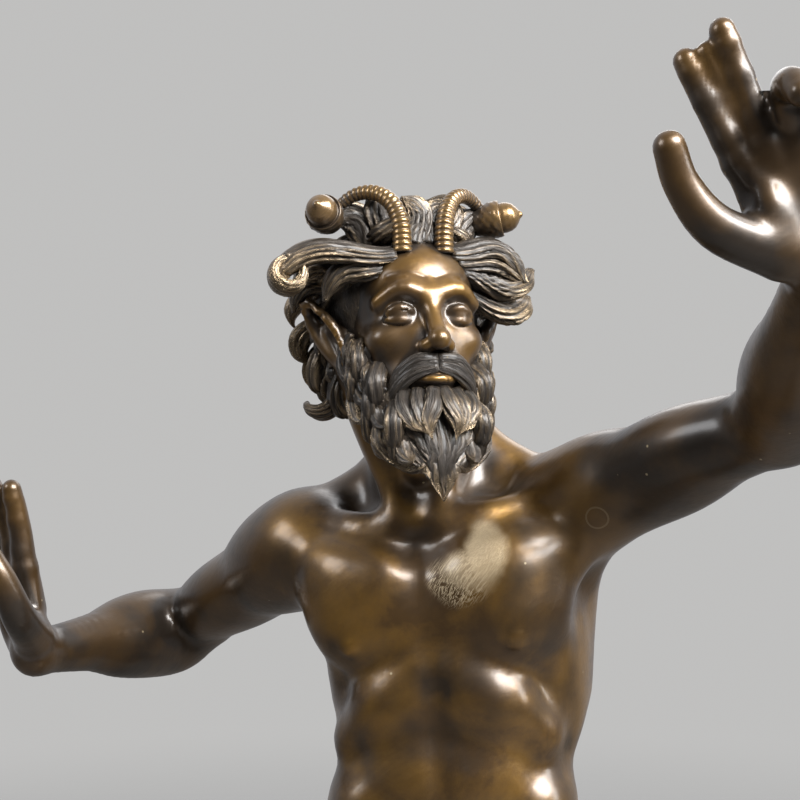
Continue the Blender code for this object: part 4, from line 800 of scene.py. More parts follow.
# The mesh without the walls of closed hollows and loose crumbs, which are its smaller shells
def outerSkin(mesh):
    ends = np.empty(len(mesh.edges) * 2, np.int32)
    mesh.edges.foreach_get("vertices", ends)
    first, second = ends.reshape(-1, 2).T
    shell = np.arange(len(mesh.vertices))
    while True:
        lowest = np.minimum(shell[first], shell[second])
        new = shell.copy()
        np.minimum.at(new, first, lowest)
        np.minimum.at(new, second, lowest)
        new = new[new]
        if (new == shell).all():
            break
        shell = new
    kept = shell == np.bincount(shell).argmax()
    bm = bmesh.new()
    bm.from_mesh(mesh)
    bmesh.ops.delete(bm, geom=[v for v, keep in zip(bm.verts, kept) if not keep], context="VERTS")
    bm.to_mesh(mesh)
    bm.free()
    return mesh


def setCorners(mesh, p):
    mesh.vertices.foreach_set("co", p.astype(np.float32).ravel())
    mesh.update()


# Corners and faces of Blender's icosphere, of radius 1
def unitBall():
    bm = bmesh.new()
    bmesh.ops.create_icosphere(bm, subdivisions=2, radius=1.0)
    corners = np.array([v.co for v in bm.verts])
    faces = np.array([[v.index for v in f.verts] for f in bm.faces])
    bm.free()
    return corners, faces


# One closed skin over the clay: balls that fill it are fused, then drawn onto its blended surface
def skinOf(clay, rough, fine):
    corners, faces = unitBall()
    places = [m for mass in clay.masses if not mass.cut for m in mass.standIns()]
    p = np.concatenate([corners @ m[:3, :3].T + m[:3, 3] for m in places])
    f = np.concatenate([faces + i * len(corners) for i in range(len(places))])
    mesh = bpy.data.meshes.new("masses")
    mesh.from_pydata(p, [], f)
    for voxel in (rough, fine):
        mesh = outerSkin(remeshed(mesh, voxel))
        setCorners(mesh, clay.drawOnto(cornersOf(mesh)))
    return mesh


# Fine work in the bronze

def addFaceDetail(clay, head, turn):
    ball, roll = headTools(clay, head, turn, 4)
    for s in (-1, 1):
        # Eye: ball, upper lid and lower lid
        ball((s * 0.133, -0.318, -0.006), (0.058, 0.056, 0.046), 0.006)
        roll([(s * 0.074, -0.338, -0.018), (s * 0.100, -0.360, 0.010), (s * 0.138, -0.367, 0.021),
              (s * 0.176, -0.350, 0.012), (s * 0.208, -0.312, -0.016)],
             [0.010, 0.015, 0.018, 0.016, 0.010], 0.016)
        roll([(s * 0.078, -0.338, -0.026), (s * 0.108, -0.352, -0.040), (s * 0.142, -0.356, -0.045),
              (s * 0.176, -0.340, -0.040), (s * 0.204, -0.312, -0.026)],
             [0.008, 0.012, 0.014, 0.012, 0.008], 0.022)
        roll([(s * 0.084, -0.368, 0.038), (s * 0.135, -0.388, 0.050), (s * 0.190, -0.356, 0.036)],
             [0.004, 0.006, 0.004], 0.024, True)
        # Nostril, wing of the nose and its fold
        ball((s * 0.030, -0.448, -0.198), (0.015, 0.018, 0.009), 0.008, None, True)
        roll([(s * 0.078, -0.395, -0.168), (s * 0.086, -0.388, -0.190), (s * 0.072, -0.392, -0.212)],
             [0.004, 0.005, 0.003], 0.012, True)
        roll([(s * 0.095, -0.378, -0.190), (s * 0.135, -0.345, -0.245), (s * 0.160, -0.325, -0.300)],
             [0.004, 0.007, 0.004], 0.030, True)
        # The ear's hollow and its inner ridge
        roll([(s * 0.352, 0.000, -0.120), (s * 0.392, 0.012, -0.030), (s * 0.446, 0.030, 0.060),
              (s * 0.492, 0.052, 0.135)], [0.030, 0.044, 0.034, 0.014], 0.020, True)
        roll([(s * 0.345, 0.034, -0.120), (s * 0.372, 0.060, -0.030), (s * 0.412, 0.066, 0.040)],
             [0.016, 0.016, 0.010], 0.014)
        # A faint furrow over each brow
        roll([(s * 0.030, -0.392, 0.160), (s * 0.110, -0.378, 0.185), (s * 0.190, -0.320, 0.180)],
             [0.003, 0.004, 0.003], 0.022, True)
    # Lips, the line between them, and the dip under the nose
    roll([(-0.090, -0.372, -0.292), (-0.040, -0.402, -0.280), (0, -0.406, -0.284), (0.040, -0.402, -0.280),
          (0.090, -0.372, -0.292)], [0.010, 0.015, 0.013, 0.015, 0.010], 0.012)
    roll([(-0.075, -0.376, -0.322), (-0.030, -0.408, -0.328), (0.030, -0.408, -0.328),
          (0.075, -0.376, -0.322)], [0.012, 0.022, 0.022, 0.012], 0.012)
    roll([(-0.100, -0.378, -0.302), (-0.045, -0.422, -0.303), (0, -0.428, -0.306), (0.045, -0.422, -0.303),
          (0.100, -0.378, -0.302)], [0.005, 0.006, 0.006, 0.006, 0.005], 0.008, True)
    roll([(0, -0.425, -0.215), (0, -0.420, -0.262)], [0.006, 0.009], 0.020, True)
    ball((0, -0.392, -0.368), (0.040, 0.016, 0.012), 0.030, None, True)


def addBodyDetail(clay):
    for s in (-1, 1):
        trunkBall(clay, (s * 0.053, -0.0590, 0.742), (0.0046, 0.0050, 0.0046), 0.0050)
    # Veins of the leaf
    heart = onTrunk(0, -0.052, 0.498)
    turn = trunkFrame(0.50)[1] @ about((1, 0, 0), -14)
    for angle, long in ((180, 0.030), (118, 0.026), (-118, 0.026), (60, 0.022), (-60, 0.022)):
        way = turn @ vec(math.sin(math.radians(angle)), -0.05, math.cos(math.radians(angle)))
        front = turn @ vec(0, -0.0058, 0)
        clay.roll([heart + front, heart + front * 0.95 + way * long * 0.55, heart + front * 0.5 + way * long],
                  [0.0012, 0.0010, 0.0006], 0.0016, steps=3)


# Veins on the forearm and shin, which run just under the skin
def addVeins(clay):
    for (shoulder, elbow, wrist), side in ((rightArm, -1), (leftArm, 1)):
        bone = boneFrame(elbow, wrist, shoulder - elbow)
        for turnAngle, first, last in ((150, 0.10, 0.92), (205, 0.35, 1.0)):
            line = []
            for i in range(7):
                t = lerp(first, last, i / 6)
                thick = np.interp(t, [0, 0.3, 0.72, 1], [0.0270, 0.0305, 0.0200, 0.0152])
                a = math.radians(turnAngle + 26 * math.sin(4.1 * t + turnAngle))
                out = bone[:, 0] * math.cos(a) + bone[:, 1] * side * math.sin(a)
                line.append(lerp(elbow, wrist, t) + out * thick)
            clay.roll(line, [0.0012, 0.0019, 0.0022, 0.0022, 0.0020, 0.0018, 0.0010], 0.0030, steps=3)


# Locks are swept along their lines, flat like ribbons, with grooves between their strands

class Bundle:

    def __init__(self):
        self.points, self.faces, self.crest, self.strands, self.count = [], [], [], [], 0

    def add(self, points, faces, crest, strands):
        self.points.append(points)
        self.faces.append(faces + self.count)
        self.crest.append(crest)
        self.strands.append(strands)
        self.count += len(points)

    def joined(self):
        return [np.concatenate(part) for part in (self.points, self.faces, self.crest, self.strands)]


# Evenly many rows along a line, with their radii
def inRows(line, radii, rows):
    points, r = flowing(line, radii, 5)
    run = np.concatenate([[0], np.cumsum(np.linalg.norm(np.diff(points, axis=0), axis=1))])
    at = np.linspace(0, run[-1], rows)
    return np.column_stack([np.interp(at, run, points[:, k]) for k in range(3)]), np.interp(at, run, r)


# An axis across the line at each row, carried along without twist
def carried(points, up):
    ahead = np.gradient(points, axis=0)
    ahead /= np.linalg.norm(ahead, axis=1)[:, None]
    found = []
    for d in ahead:
        up = up - d * (up @ d)
        up = up / max(np.linalg.norm(up), 1e-9)
        found.append(up)
    found = np.array(found)
    return ahead, found, np.cross(ahead, found)


# Joins rows of points into a closed tube. strands says where each point lies along and across the hairs
def sweep(bundle, rows, crest, strands=None):
    count, sides = rows.shape[:2]
    points = rows.reshape(-1, 3)
    if strands is None:
        strands = points * 400
    i, j = np.meshgrid(np.arange(count - 1), np.arange(sides), indexing="ij")
    a, b = i * sides + j, i * sides + (j + 1) % sides
    faces = np.stack([a, b, b + sides, a + sides], -1).reshape(-1, 4)
    points = np.vstack([points, rows[0].mean(0), rows[-1].mean(0)])
    strands = np.vstack([strands, strands[0], strands[-1]])
    crest = np.concatenate([crest, [0.3, crest[-1]]])
    k = np.arange(0, sides, 2)
    first, last, top = count * sides, count * sides + 1, (count - 1) * sides
    low = np.stack([np.full(len(k), first), (k + 2) % sides, (k + 1) % sides, k % sides], -1)
    high = np.stack([np.full(len(k), last), top + k, top + (k + 1) % sides, top + (k + 2) % sides], -1)
    bundle.add(points, np.vstack([faces, low, high]), crest, strands)


# How a lock's end draws in: by what share, from where along it, and how sharply
endings = {
    "point": (0.82, 0.66, 1.4),
    "round": (0.55, 0.80, 1.0),
    "blunt": (0.10, 0.93, 1.0),
}


# gild is how much the lock brightens towards its tip
def lock(bundle, line, radii, up, form, seed, end="point", gild=0.0):
    points, r = inRows(line, radii, form["rows"])
    s = np.linspace(0, 1, form["rows"])
    drawnIn, since, sharp = endings[end]
    r = r * (1 - drawnIn * ease(since, 1.0, s) ** sharp)
    ahead, up, side = carried(points, up)
    sides = form["sides"]
    angle = 2 * np.pi * np.arange(sides) / sides
    warp = angle + 0.20 * np.sin(2 * angle + seed) + 0.09 * np.sin(3 * angle + 2.3 * seed)
    drift = form["twist"] * math.sin(1.9 * seed) * s + 0.25 * np.sin(5 * s + seed)
    phase = form["lobes"] / 2 * (warp[None, :] + drift[:, None]) + seed
    ridge = 0.62 * np.abs(np.cos(phase)) ** 0.8 + 0.38 * np.abs(np.cos(2.5 * phase + seed + 3 * s[:, None]))
    depth = form["groove"] * (0.35 + 0.65 * np.sin(np.pi * np.clip(s * 1.15, 0, 1)))[:, None]
    size = r[:, None] * (1 - depth * (1 - ridge))
    across = form["wide"] * np.cos(angle)[None, :] * size
    upward = form["high"] * np.sin(angle)[None, :] * size
    rowPoints = points[:, None] + across[..., None] * side[:, None] + upward[..., None] * up[:, None]
    run, lie = np.broadcast_arrays(s[:, None] * 2.2 + 3.7 * seed, warp[None, :])
    strands = np.stack([5 * np.cos(lie), 5 * np.sin(lie), run], -1)
    bright = ridge + gild * ease(0.35, 0.95, s)[:, None]
    sweep(bundle, rowPoints, bright.ravel(), strands.reshape(-1, 3))


def smoothAttribute(mesh, name, values):
    layer = mesh.attributes.new(name, "FLOAT", "POINT")
    layer.data.foreach_set("value", np.asarray(values, np.float32))


def placeAttribute(mesh, name, values):
    layer = mesh.attributes.new(name, "FLOAT_VECTOR", "POINT")
    layer.data.foreach_set("vector", np.asarray(values, np.float32).ravel())


def normalsOf(mesh):
    n = np.empty(len(mesh.vertices) * 3, np.float32)
    mesh.vertices.foreach_get("normal", n)
    return n.reshape(-1, 3).astype(float)


# How deep in a hollow each point is, from the clay at some heights over it. The bronze is painted darker
# there as shade
def hollowAt(clay, p, n, heights):
    found = np.zeros(len(p))
    for h in heights:
        q = p + n * h
        found += np.clip((h - clay.outside(q, clay.near(q))) / h, 0, 1.5) / len(heights)
    return found


# How much each point stands proud, from the clay at some depths under it
def proudAt(clay, p, n, depths):
    found = np.zeros(len(p))
    for h in depths:
        q = p - n * h
        found += np.clip((h + clay.outside(q, clay.near(q))) / h, 0, 1) / len(depths)
    return found


# What the bronze's colour is worked out from: its hollows, which get painted shade, its proud places, and how
# worn it is by hands
def setWearAndShade(mesh, hollow, proud, worn):
    smoothAttribute(mesh, "hollow", hollow)
    smoothAttribute(mesh, "proud", proud)
    smoothAttribute(mesh, "worn", worn)


# Splits the faces that a test picks into four
def refined(mesh, picked):
    p = cornersOf(mesh)
    keep = picked(p)
    bm = bmesh.new()
    bm.from_mesh(mesh)
    edges = [e for e in bm.edges if keep[e.verts[0].index] and keep[e.verts[1].index]]
    bmesh.ops.subdivide_edges(bm, edges=edges, cuts=1, use_grid_fill=True)
    bm.to_mesh(mesh)
    bm.free()
    mesh.update()
    return mesh


# The dance: where the joints of the limbs are

rightArm = vec(-0.083, 0.022, 0.775), vec(-0.186, 0.140, 0.700), vec(-0.266, 0.022, 0.702)
leftArm = vec(0.090, -0.012, 0.806), vec(0.192, -0.132, 0.861), vec(0.178, -0.252, 0.937)
rightPoint, leftPoint = vec(-0.24, 0.02, 0.97), vec(-0.37, -0.12, 0.92)  # which way the fingers point
rightFoot = footUnder(-0.055, 0.034, -22, 0)
leftFoot = footUnder(0.086, -0.040, 14, 13)
onHead, headTurn = headPlace()


def bodyClay():
    clay = Clay()
    addTrunk(clay)
    for s, hip, knee, foot, lift in (
        (-1, onTrunk(-0.048, 0.002, 0.525), vec(-0.070, -0.034, 0.277), rightFoot, 0),
        (1, onTrunk(0.048, 0.002, 0.525), vec(0.082, -0.092, 0.288), leftFoot, 13),
    ):
        ankle, ball, way = foot
        addLeg(clay, s, hip, knee, ankle, ball, way, lift)
    addNeck(clay, onHead)
    for s, (shoulder, elbow, wrist), full in ((-1, rightArm, 1.0), (1, leftArm, 0.5)):
        armpit(clay, s, shoulder, elbow)
        addArm(clay, s, shoulder, elbow, wrist, full)
    addHand(clay, -1, rightArm[2], rightPoint, vec(-0.80, -0.55, -0.10), (4, 8, 16, 24), 0.25, 1.0)
    addHand(clay, 1, leftArm[2], leftPoint, vec(-0.10, -0.98, -0.10), (0, 4, 54, 64), 0.10, 0.7)
    addTail(clay)
    addLeaf(clay)
    addSkull(clay, onHead, headTurn)
    return clay


# The mass of the hair and beard under their strands. share is how thick the locks' cores are
def addHairMass(clay, share):
    for centre, radii in (((0, 0.100, 0.15), (0.365, 0.40, 0.36)), ((0, 0.16, -0.10), (0.32, 0.30, 0.30)),
                          ((0, -0.175, -0.42), (0.215, 0.175, 0.19))):
        clay.ball(onHead(*centre), vec(*radii) * headSize, 0.05 * headSize, headTurn)
    clay.roll([onHead(0, -0.225, -0.48), onHead(0, -0.305, -0.63), onHead(0, -0.350, -0.74)],
              vec(0.14, 0.074, 0.030) * headSize, 0.05 * headSize)
    for line, radii in hairLocks() + beardLocks():
        clay.roll(onHeadLine(line), radii * headSize * share, hair["blend"] * headSize)


def onHeadLine(line):
    return [onHead(*p) for p in line]


def inHead(p):
    return (p - onHead(0, 0, 0)) @ headTurn / headSize


clay = bodyClay()
skin = skinOf(clay, statue["roughVoxel"], statue["skinVoxel"])
print("body fused:", len(skin.vertices), "points")
hairClay = Clay()
addHairMass(hairClay, hair["core"])
underHair = skinOf(hairClay, 0.0048, 0.0044)
print("mass under the hair fused:", len(underHair.vertices), "points")

addFaceDetail(clay, onHead, headTurn)
addBodyDetail(clay)
addVeins(clay)


# Which points lie in a box of the head, taken on both sides of its middle
def inBox(p, low, high):
    q = inHead(p)
    q[:, 0] = np.abs(q[:, 0])
    return ((q > low) & (q < high)).all(1)


def nearFace(p):
    return inBox(p, (-1, -0.7, -0.46), (0.46, 0.16, 0.38))


def veryNearFace(p):
    return inBox(p, (-1, -0.6, -0.40), (0.27, -0.22, 0.22))


def nearEyes(p):
    return inBox(p, (0.05, -farAway, -0.072), (0.226, -0.26, 0.060))


def nearHands(p):
    found = np.zeros(len(p), bool)
    for wrist, point in ((rightArm[2], rightPoint), (leftArm[2], leftPoint)):
        found |= np.linalg.norm(p - wrist - unit(point) * 0.060, axis=1) < 0.075
    return found


def nearFeetAndLeaf(p):
    heart = onTrunk(0, -0.052, 0.498)
    return (p[:, 2] < 0.034) | (np.linalg.norm(p - heart, axis=1) < 0.042)


for picked in (lambda p: nearFace(p) | nearHands(p) | nearFeetAndLeaf(p), veryNearFace, nearEyes):
    skin = refined(skin, picked)
    setCorners(skin, clay.drawOnto(cornersOf(skin), rounds=3, most=0.003))
setCorners(skin, clay.drawOnto(cornersOf(skin), rounds=1, most=0.001))
print("body drawn finely:", len(skin.vertices), "points")

# Locks of hair and beard. wide and high are across and up from the lock's line, as shares of its radius
backForm = {"lobes": 9, "sides": 44, "rows": 26, "groove": 0.42, "twist": 0.7, "wide": 1.30, "high": 0.84}
browForm = {"lobes": 11, "sides": 56, "rows": 30, "groove": 0.44, "twist": 0.6, "wide": 1.35, "high": 0.80}
wispForm = {"lobes": 4, "sides": 16, "rows": 12, "groove": 0.45, "twist": 0.5, "wide": 1.20, "high": 0.80}
beardForm = {"lobes": 7, "sides": 34, "rows": 20, "groove": 0.44, "twist": 0.6, "wide": 1.25, "high": 0.84}
templeLocks = 9  # the last of the hair's locks
browLocks = 14 + templeLocks


# Thin wisps that fill in between the locks and follow the way they lie
def hairWisps():
    found = []
    jitter = np.random.default_rng(11)
    for i in range(hair["wisps"]):
        a, height = jitter.uniform(58, 302), jitter.uniform(-42, 80)
        start, normal = onSkull(a, height, 1.12)
        side = unit(np.cross(normal, (0, 0, 1.001)))
        hand = 1 if i % 2 else -1
        fall = 1.0 - 0.6 * ease(0, 70, height)
        heading = normal * 0.25 + vec(0, 0, -fall) + side * jitter.uniform(0.2, 0.9) * hand
        line = strand(start, heading, normal + side * 0.2 * hand, jitter.uniform(0.20, 0.34), 60 * hand,
                      -hand * jitter.uniform(120, 220), 8)
        found.append((behindEars(hugging(line, 0.5, 0.34)), lockWidths(jitter.uniform(0.024, 0.038), 8, 0.3)))
    return found


# Thin strands over the tongue of the beard and down the jaw, and short ones over the lip
def beardWisps():
    found = []
    jitter = np.random.default_rng(23)
    for i in range(beard["tongueWisps"]):
        s, u = (1 if i % 2 else -1), jitter.uniform(0.02, 1)
        bend = jitter.uniform(-0.035, 0.035)
        start = vec(s * 0.19 * u, -0.375 + 0.13 * u**2, -0.44 + 0.05 * u**2 + jitter.uniform(-0.05, 0.03))
        tip = vec(s * 0.055 * u, -0.378 + 0.02 * u, lerp(-0.86, -0.64, u) + jitter.uniform(-0.02, 0.02))
        middle = lerp(start, tip, 0.45) + vec(s * 0.03 * u + bend, -0.020, 0)
        late = lerp(middle, tip, 0.55) + vec(-bend, -0.008, 0)
        line = flowing([start, middle, late, tip], [1, 1, 1, 1], 4)[0]
        found.append((line, lockWidths(jitter.uniform(0.016, 0.024), len(line) - 1, 0.35)))
    for i in range(beard["jawWisps"]):
        s, u = (1 if i % 2 else -1), jitter.uniform(0, 1)
        hook = 1 if jitter.uniform(0, 1) > 0.5 else -1
        x, y, z = lerp(0.305, 0.190, u**1.5), lerp(-0.060, -0.260, u), lerp(-0.020, -0.470, u)
        back = jitter.uniform(-0.07, 0.05)
        x, y = x - 0.45 * max(0, -back) + 0.008, y + back
        start = vec(s * x, y, z)
        line = flowing([start, start + vec(s * 0.020, -0.030 * hook, -0.055),
                        start + vec(s * 0.018, -0.012 * hook, -0.120),
                        start + vec(s * 0.004, 0.034 * hook, -0.145)], [1, 1, 1, 1], 3)[0]
        found.append((line, lockWidths(jitter.uniform(0.018, 0.026), len(line) - 1, 0.35)))
    return found


# The right temple's long lock ends in a rolled scroll, open to the front
def scroll(lockLine):
    middle = np.mean(lockLine[-6:], axis=0)
    ways = [math.cos(a) * vec(1, 0, 0) + math.sin(a) * vec(0, 0.1, 1)
            for a in np.linspace(math.radians(100), math.radians(-270), 24)]
    return [middle + way * lerp(0.070, 0.060, i / 23) for i, way in enumerate(ways)], ways[0]


backBundle, browBundle, beardBundle = Bundle(), Bundle(), Bundle()
wispBundle = Bundle()
locks = hairLocks()
for number, (line, radii) in enumerate(locks):
    outward = unit((line[len(line) // 2] - vec(*scalpMiddle)) / vec(*scalp) ** 2)
    atBrow = number >= len(locks) - browLocks
    streams = number >= len(locks) - templeLocks
    end = "round" if atBrow else "point"
    if streams:
        outward = vec(0, -0.6, 0.8)
        if radii[-1] > 0.7 * max(radii):
            end = "blunt"
    if number == len(locks) - templeLocks:
        rolled, outside = scroll(line)
        lock(browBundle, onHeadLine(rolled), np.full(len(rolled), 0.038) * headSize, headTurn @ outside,
             dict(browForm, wide=2.0, high=0.8, groove=0.22), 4.0, "blunt", 0.4)
        line, radii, end = line[:-4], np.maximum(radii[:-4], 0.05), "blunt"
    lock(browBundle if atBrow else backBundle, onHeadLine(line), radii * headSize, headTurn @ outward,
         browForm if atBrow else backForm, number * 1.7, end, gild=0.0 if atBrow else 0.2)
for number, (line, radii) in enumerate(hairWisps()):
    outward = unit((line[4] - vec(*scalpMiddle)) / vec(*scalp) ** 2)
    lock(wispBundle, onHeadLine(line), radii * headSize, headTurn @ outward, wispForm, number * 2.3)
for number, (line, radii) in enumerate(beardLocks()):
    tuft = number % 25  # 15 whiskers, 4 of the tongue, 3 of a chin tuft and 3 of the moustache on each side
    gild = 1.1 if 19 <= tuft < 22 else 0.5 if 15 <= tuft < 19 else 0.2
    lock(beardBundle, onHeadLine(line), radii * headSize, headTurn @ vec(0, -1, 0.1), beardForm, number * 1.3,
         gild=gild)
for number, (line, radii) in enumerate(beardWisps()):
    lock(wispBundle, onHeadLine(line), radii * headSize, headTurn @ vec(0, -1, 0.1), wispForm, number * 1.9)
print("locks swept")


# The ribbed horns, with a beaded ridge along the inner side
def addHorn(bundle, s):
    line, radii = hornLine(s)
    points, r = inRows(onHeadLine(line), radii * headSize, 150)
    ahead, up, side = carried(points, headTurn @ vec(s * 0.3, 1, 0.2))
    sides = 24
    angle = 2 * np.pi * np.arange(sides) / sides
    t = np.linspace(0, 1, len(points))
    ring = np.abs(np.sin(np.pi * horns["rings"] * t)) ** 0.7
    fade = (1 - ease(0.88, 0.98, t))[:, None]
    bead = np.clip(np.cos(angle - np.pi), 0, 1)[None, :] ** 8
    between = fade * (1 - ring)[:, None]
    size = r[:, None] * (0.98 - 0.09 * between + 0.14 * fade * bead * (ring[:, None] - 0.35))
    size *= (1 - 0.85 * ease(0.92, 1.0, t) ** 2)[:, None]
    rows = points[:, None] + (np.sin(angle)[None, :] * size)[..., None] * side[:, None] \
        + (np.cos(angle)[None, :] * size)[..., None] * up[:, None]
    sweep(bundle, rows, (np.ones(sides)[None, :] * (1 - between)).ravel())


# An acorn: a scaly cup and a smooth nut with a small point
def addFruit(bundle, place, way):
    sides, rows = 40, 48
    up = unit(np.cross(way, vec(0.3, 0.2, 1)))
    side = np.cross(way, up)
    angle = 2 * np.pi * np.arange(sides) / sides
    t = np.linspace(0, 1, rows)
    along = np.interp(t, [0, 0.40, 0.46, 0.93, 1.0], [-0.15, 0.018, 0.008, 0.108, 0.122])
    radius = np.interp(
        t, [0, 0.08, 0.20, 0.32, 0.40, 0.43, 0.46, 0.58, 0.70, 0.80, 0.88, 0.93, 0.96, 1],
        [0.030, 0.058, 0.080, 0.090, 0.087, 0.080, 0.072, 0.074, 0.069, 0.058, 0.038, 0.020, 0.016, 0.008])
    scale = (t < 0.40)[:, None] * 0.035
    row = np.arange(rows)[:, None]
    bump = np.sin(9 * angle[None, :] + 3.1 * row) * np.sin(1.55 * row)
    size = radius[:, None] * (1 + scale * bump)
    found = (place + way * along[:, None])[:, None] + (np.cos(angle)[None, :] * size)[..., None] * up \
        + (np.sin(angle)[None, :] * size)[..., None] * side
    found = np.array([[onHead(*q) for q in row] for row in found])
    sweep(bundle, found, np.clip(0.75 + 0.25 * bump * (scale > 0), 0, 1).ravel())


hornBundle = Bundle()
for s in (-1, 1):
    addHorn(hornBundle, s)
for place, way in acorns():
    addFruit(hornBundle, place, way)
print("horns and fruits made")

# What shades the bronze around the head: everything at nearly its full size
around = bodyClay()
addHairMass(around, hair["shade"])
for s in (-1, 1):
    line, radii = hornLine(s)
    around.roll(onHeadLine(line), radii * headSize * 0.9, 0.002)
for place, way in acorns():
    around.roll(onHeadLine([place - way * 0.1, place + way * 0.05]), vec(0.085, 0.065) * headSize, 0.002)


# Every piece keeps within the box of the cast
def finished(name, mesh, node=None):
    setCorners(mesh, np.clip(cornersOf(mesh), cadBox[0], cadBox[1]))
    mesh.shade_smooth()
    piece = newObject(name, mesh, bpy.context.scene.collection)
    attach(piece, "root")
    if node:
        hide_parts(node)
    return piece


def bundleMesh(name, bundle, clayAround, deep):
    p, faces, crest, strands = bundle.joined()
    mesh = bpy.data.meshes.new(name)
    mesh.from_pydata(inFrame(p), [], faces)
    hollow = hollowAt(clayAround, p, normalsOf(mesh), (0.004, 0.010, 0.020))
    # Locks lie in one another, so their hollows are judged among themselves
    low, high = np.percentile(hollow, [12, 97])
    hollow = np.clip((hollow - low) / (high - low), 0, 1)
    # Painted shade: darker in the hollows among the locks and in the grooves between their strands, where
    # dark patina lies too
    setWearAndShade(mesh, np.clip(hollow * 0.8 + (1 - crest) * deep, 0, 1), np.clip(crest - 0.35 * hollow, 0, 1.5),
            np.ones(len(p)))
    placeAttribute(mesh, "strands", strands)
    return mesh


# The trunk and the face are rubbed the brightest. The eyes stay dark.
def wornShare(p):
    middle = np.array([trunkFrame(z)[0] for z in p[:, 2]])
    out = np.linalg.norm((p - middle)[:, :2], axis=1)
    q = inHead(p)
    eyes = np.minimum(*[np.linalg.norm(q - vec(s * 0.133, -0.36, -0.006), axis=1) for s in (-1, 1)])
    worn = 1 - 0.80 * ease(0.070, 0.150, out) * ease(0.6, 0.9, np.linalg.norm(q, axis=1))
    return worn * ease(0.045, 0.085, eyes)


for mesh in (skin, underHair):
    p = cornersOf(mesh)
    n = normalsOf(mesh)
    # Hollows are painted darker, as shade from the clay around them with dark patina there too; proud places
    # take the gold of wear
    hollow = np.clip(hollowAt(around, p, n, (0.006, 0.014, 0.028)), 0, 1)
    setWearAndShade(mesh, hollow, proudAt(around, p, n, (0.004, 0.010)), wornShare(p))
    placeAttribute(mesh, "strands", inHead(p) * vec(50, 50, 12))
    setCorners(mesh, inFrame(p))
figure = finished("dancingFaun", skin, "faun")
hairPieces = [finished("underHair", underHair)]
for name, bundle, deep in (("backLocks", backBundle, 0.42), ("browLocks", browBundle, 0.42),
                           ("thinStrands", wispBundle, 0.36), ("beardLocks", beardBundle, 0.42)):
    hairPieces.append(finished(name, bundleMesh(name, bundle, around, deep)))
hornPiece = finished("hornsAndFruits", bundleMesh("hornsAndFruits", hornBundle, around, 0.35))
for piece in [figure, hornPiece] + hairPieces:
    print(piece.name, "has", sum(len(f.vertices) - 2 for f in piece.data.polygons), "triangles")
print("hollows and worn places found")

# The round base
roundBase = {
    "height": statue["baseHeight"],
    "radius": 0.11937673,  # of the top edge
    "step": 0.012,  # how far the foot moulding stands out beyond it
    "lip": 0.007,
    "edge": 0.0015,
    "waist": 0.006,
    "waistRadius": 0.113,
    "foot": 0.012,
    "sides": 180,
}


def turnedBase():
    b = roundBase
    outer, footRound = b["radius"] + b["step"], b["foot"] / 2
    profile = [(r, b["height"]) for r in (0.0, b["radius"] * 0.5, b["radius"] - 2 * b["edge"])]
    for i in range(5):
        a = math.radians(90 - 90 * i / 4)
        inward, down = b["edge"] * (1 - math.cos(a)), b["edge"] * (1 - math.sin(a))
        profile.append((b["radius"] - inward, b["height"] - down))
    top, low = b["height"] - b["lip"], b["foot"]
    profile += [(b["radius"], top + 0.0004), (b["radius"] - 0.0006, top)]
    for i in range(1, 16):
        t = i / 16
        inward = math.sin(math.pi * t) * b["waist"]
        profile.append((lerp(b["radius"], outer - footRound, t * t) - inward, lerp(top, low, t)))
    for i in range(13):
        a = math.radians(90 - 90 * i / 12)
        profile.append((outer - footRound + footRound * math.cos(a), footRound + footRound * math.sin(a)))
    profile += [(outer, 0.0006), (outer - 0.0006, 0.0), (0.0, 0.0)]
    mesh = bpy.data.meshes.new("turnedBase")
    mesh.from_pydata([(x, 0, z) for x, z in profile], [(i, i + 1) for i in range(len(profile) - 1)], [])
    base = newObject("turning", mesh, bpy.context.scene.collection)
    turn = base.modifiers.new("turn", "SCREW")
    turn.steps = turn.render_steps = b["sides"]
    turn.use_merge_vertices = True
    turn.merge_threshold = 1e-5
    turned = evaluated(base)
    bpy.data.objects.remove(base)
    turned.set_sharp_from_angle(angle=math.radians(35))
    return turned


baseMesh = turnedBase()
bq = cornersOf(baseMesh)
fromWaist = (np.hypot(bq[:, 0], bq[:, 1]) - roundBase["waistRadius"]) / roundBase["step"]
underLip = bq[:, 2] < roundBase["height"] - roundBase["lip"]
# The waist under the top lip is painted darker: shade under the overhang, with dark patina there too
setWearAndShade(baseMesh, np.clip(1 - fromWaist, 0, 1) * underLip, np.zeros(len(bq)), np.ones(len(bq)))
basePiece = finished("roundBase", baseMesh, "base")
print("base turned")


# Finishes

def nodeGroup(name, inputs, outputs):
    tree = bpy.data.node_groups.new(name, "ShaderNodeTree")
    for label, kind, value in inputs:
        socket = tree.interface.new_socket(label, in_out="INPUT", socket_type="NodeSocket" + kind)
        if value is not None:
            socket.default_value = value
    for label, kind in outputs:
        tree.interface.new_socket(label, in_out="OUTPUT", socket_type="NodeSocket" + kind)
    return tree, tree.nodes.new("NodeGroupInput").outputs, tree.nodes.new("NodeGroupOutput").inputs


# Puts down a node, sets its own values, and joins or sets its inputs
def put(tree, kind, inputs=(), **values):
    node = tree.nodes.new(kind)
    for key, value in values.items():
        setattr(node, key, value)
    for where, value in dict(inputs).items():
        if isinstance(value, bpy.types.NodeSocket):
            tree.links.new(value, node.inputs[where])
        else:
            node.inputs[where].default_value = value
    return node


def sumOf(tree, operation, a, b, clamp=False):
    return put(tree, "ShaderNodeMath", {0: a, 1: b}, operation=operation, use_clamp=clamp).outputs[0]


def productOf(tree, a, b):
    return sumOf(tree, "MULTIPLY", a, b)


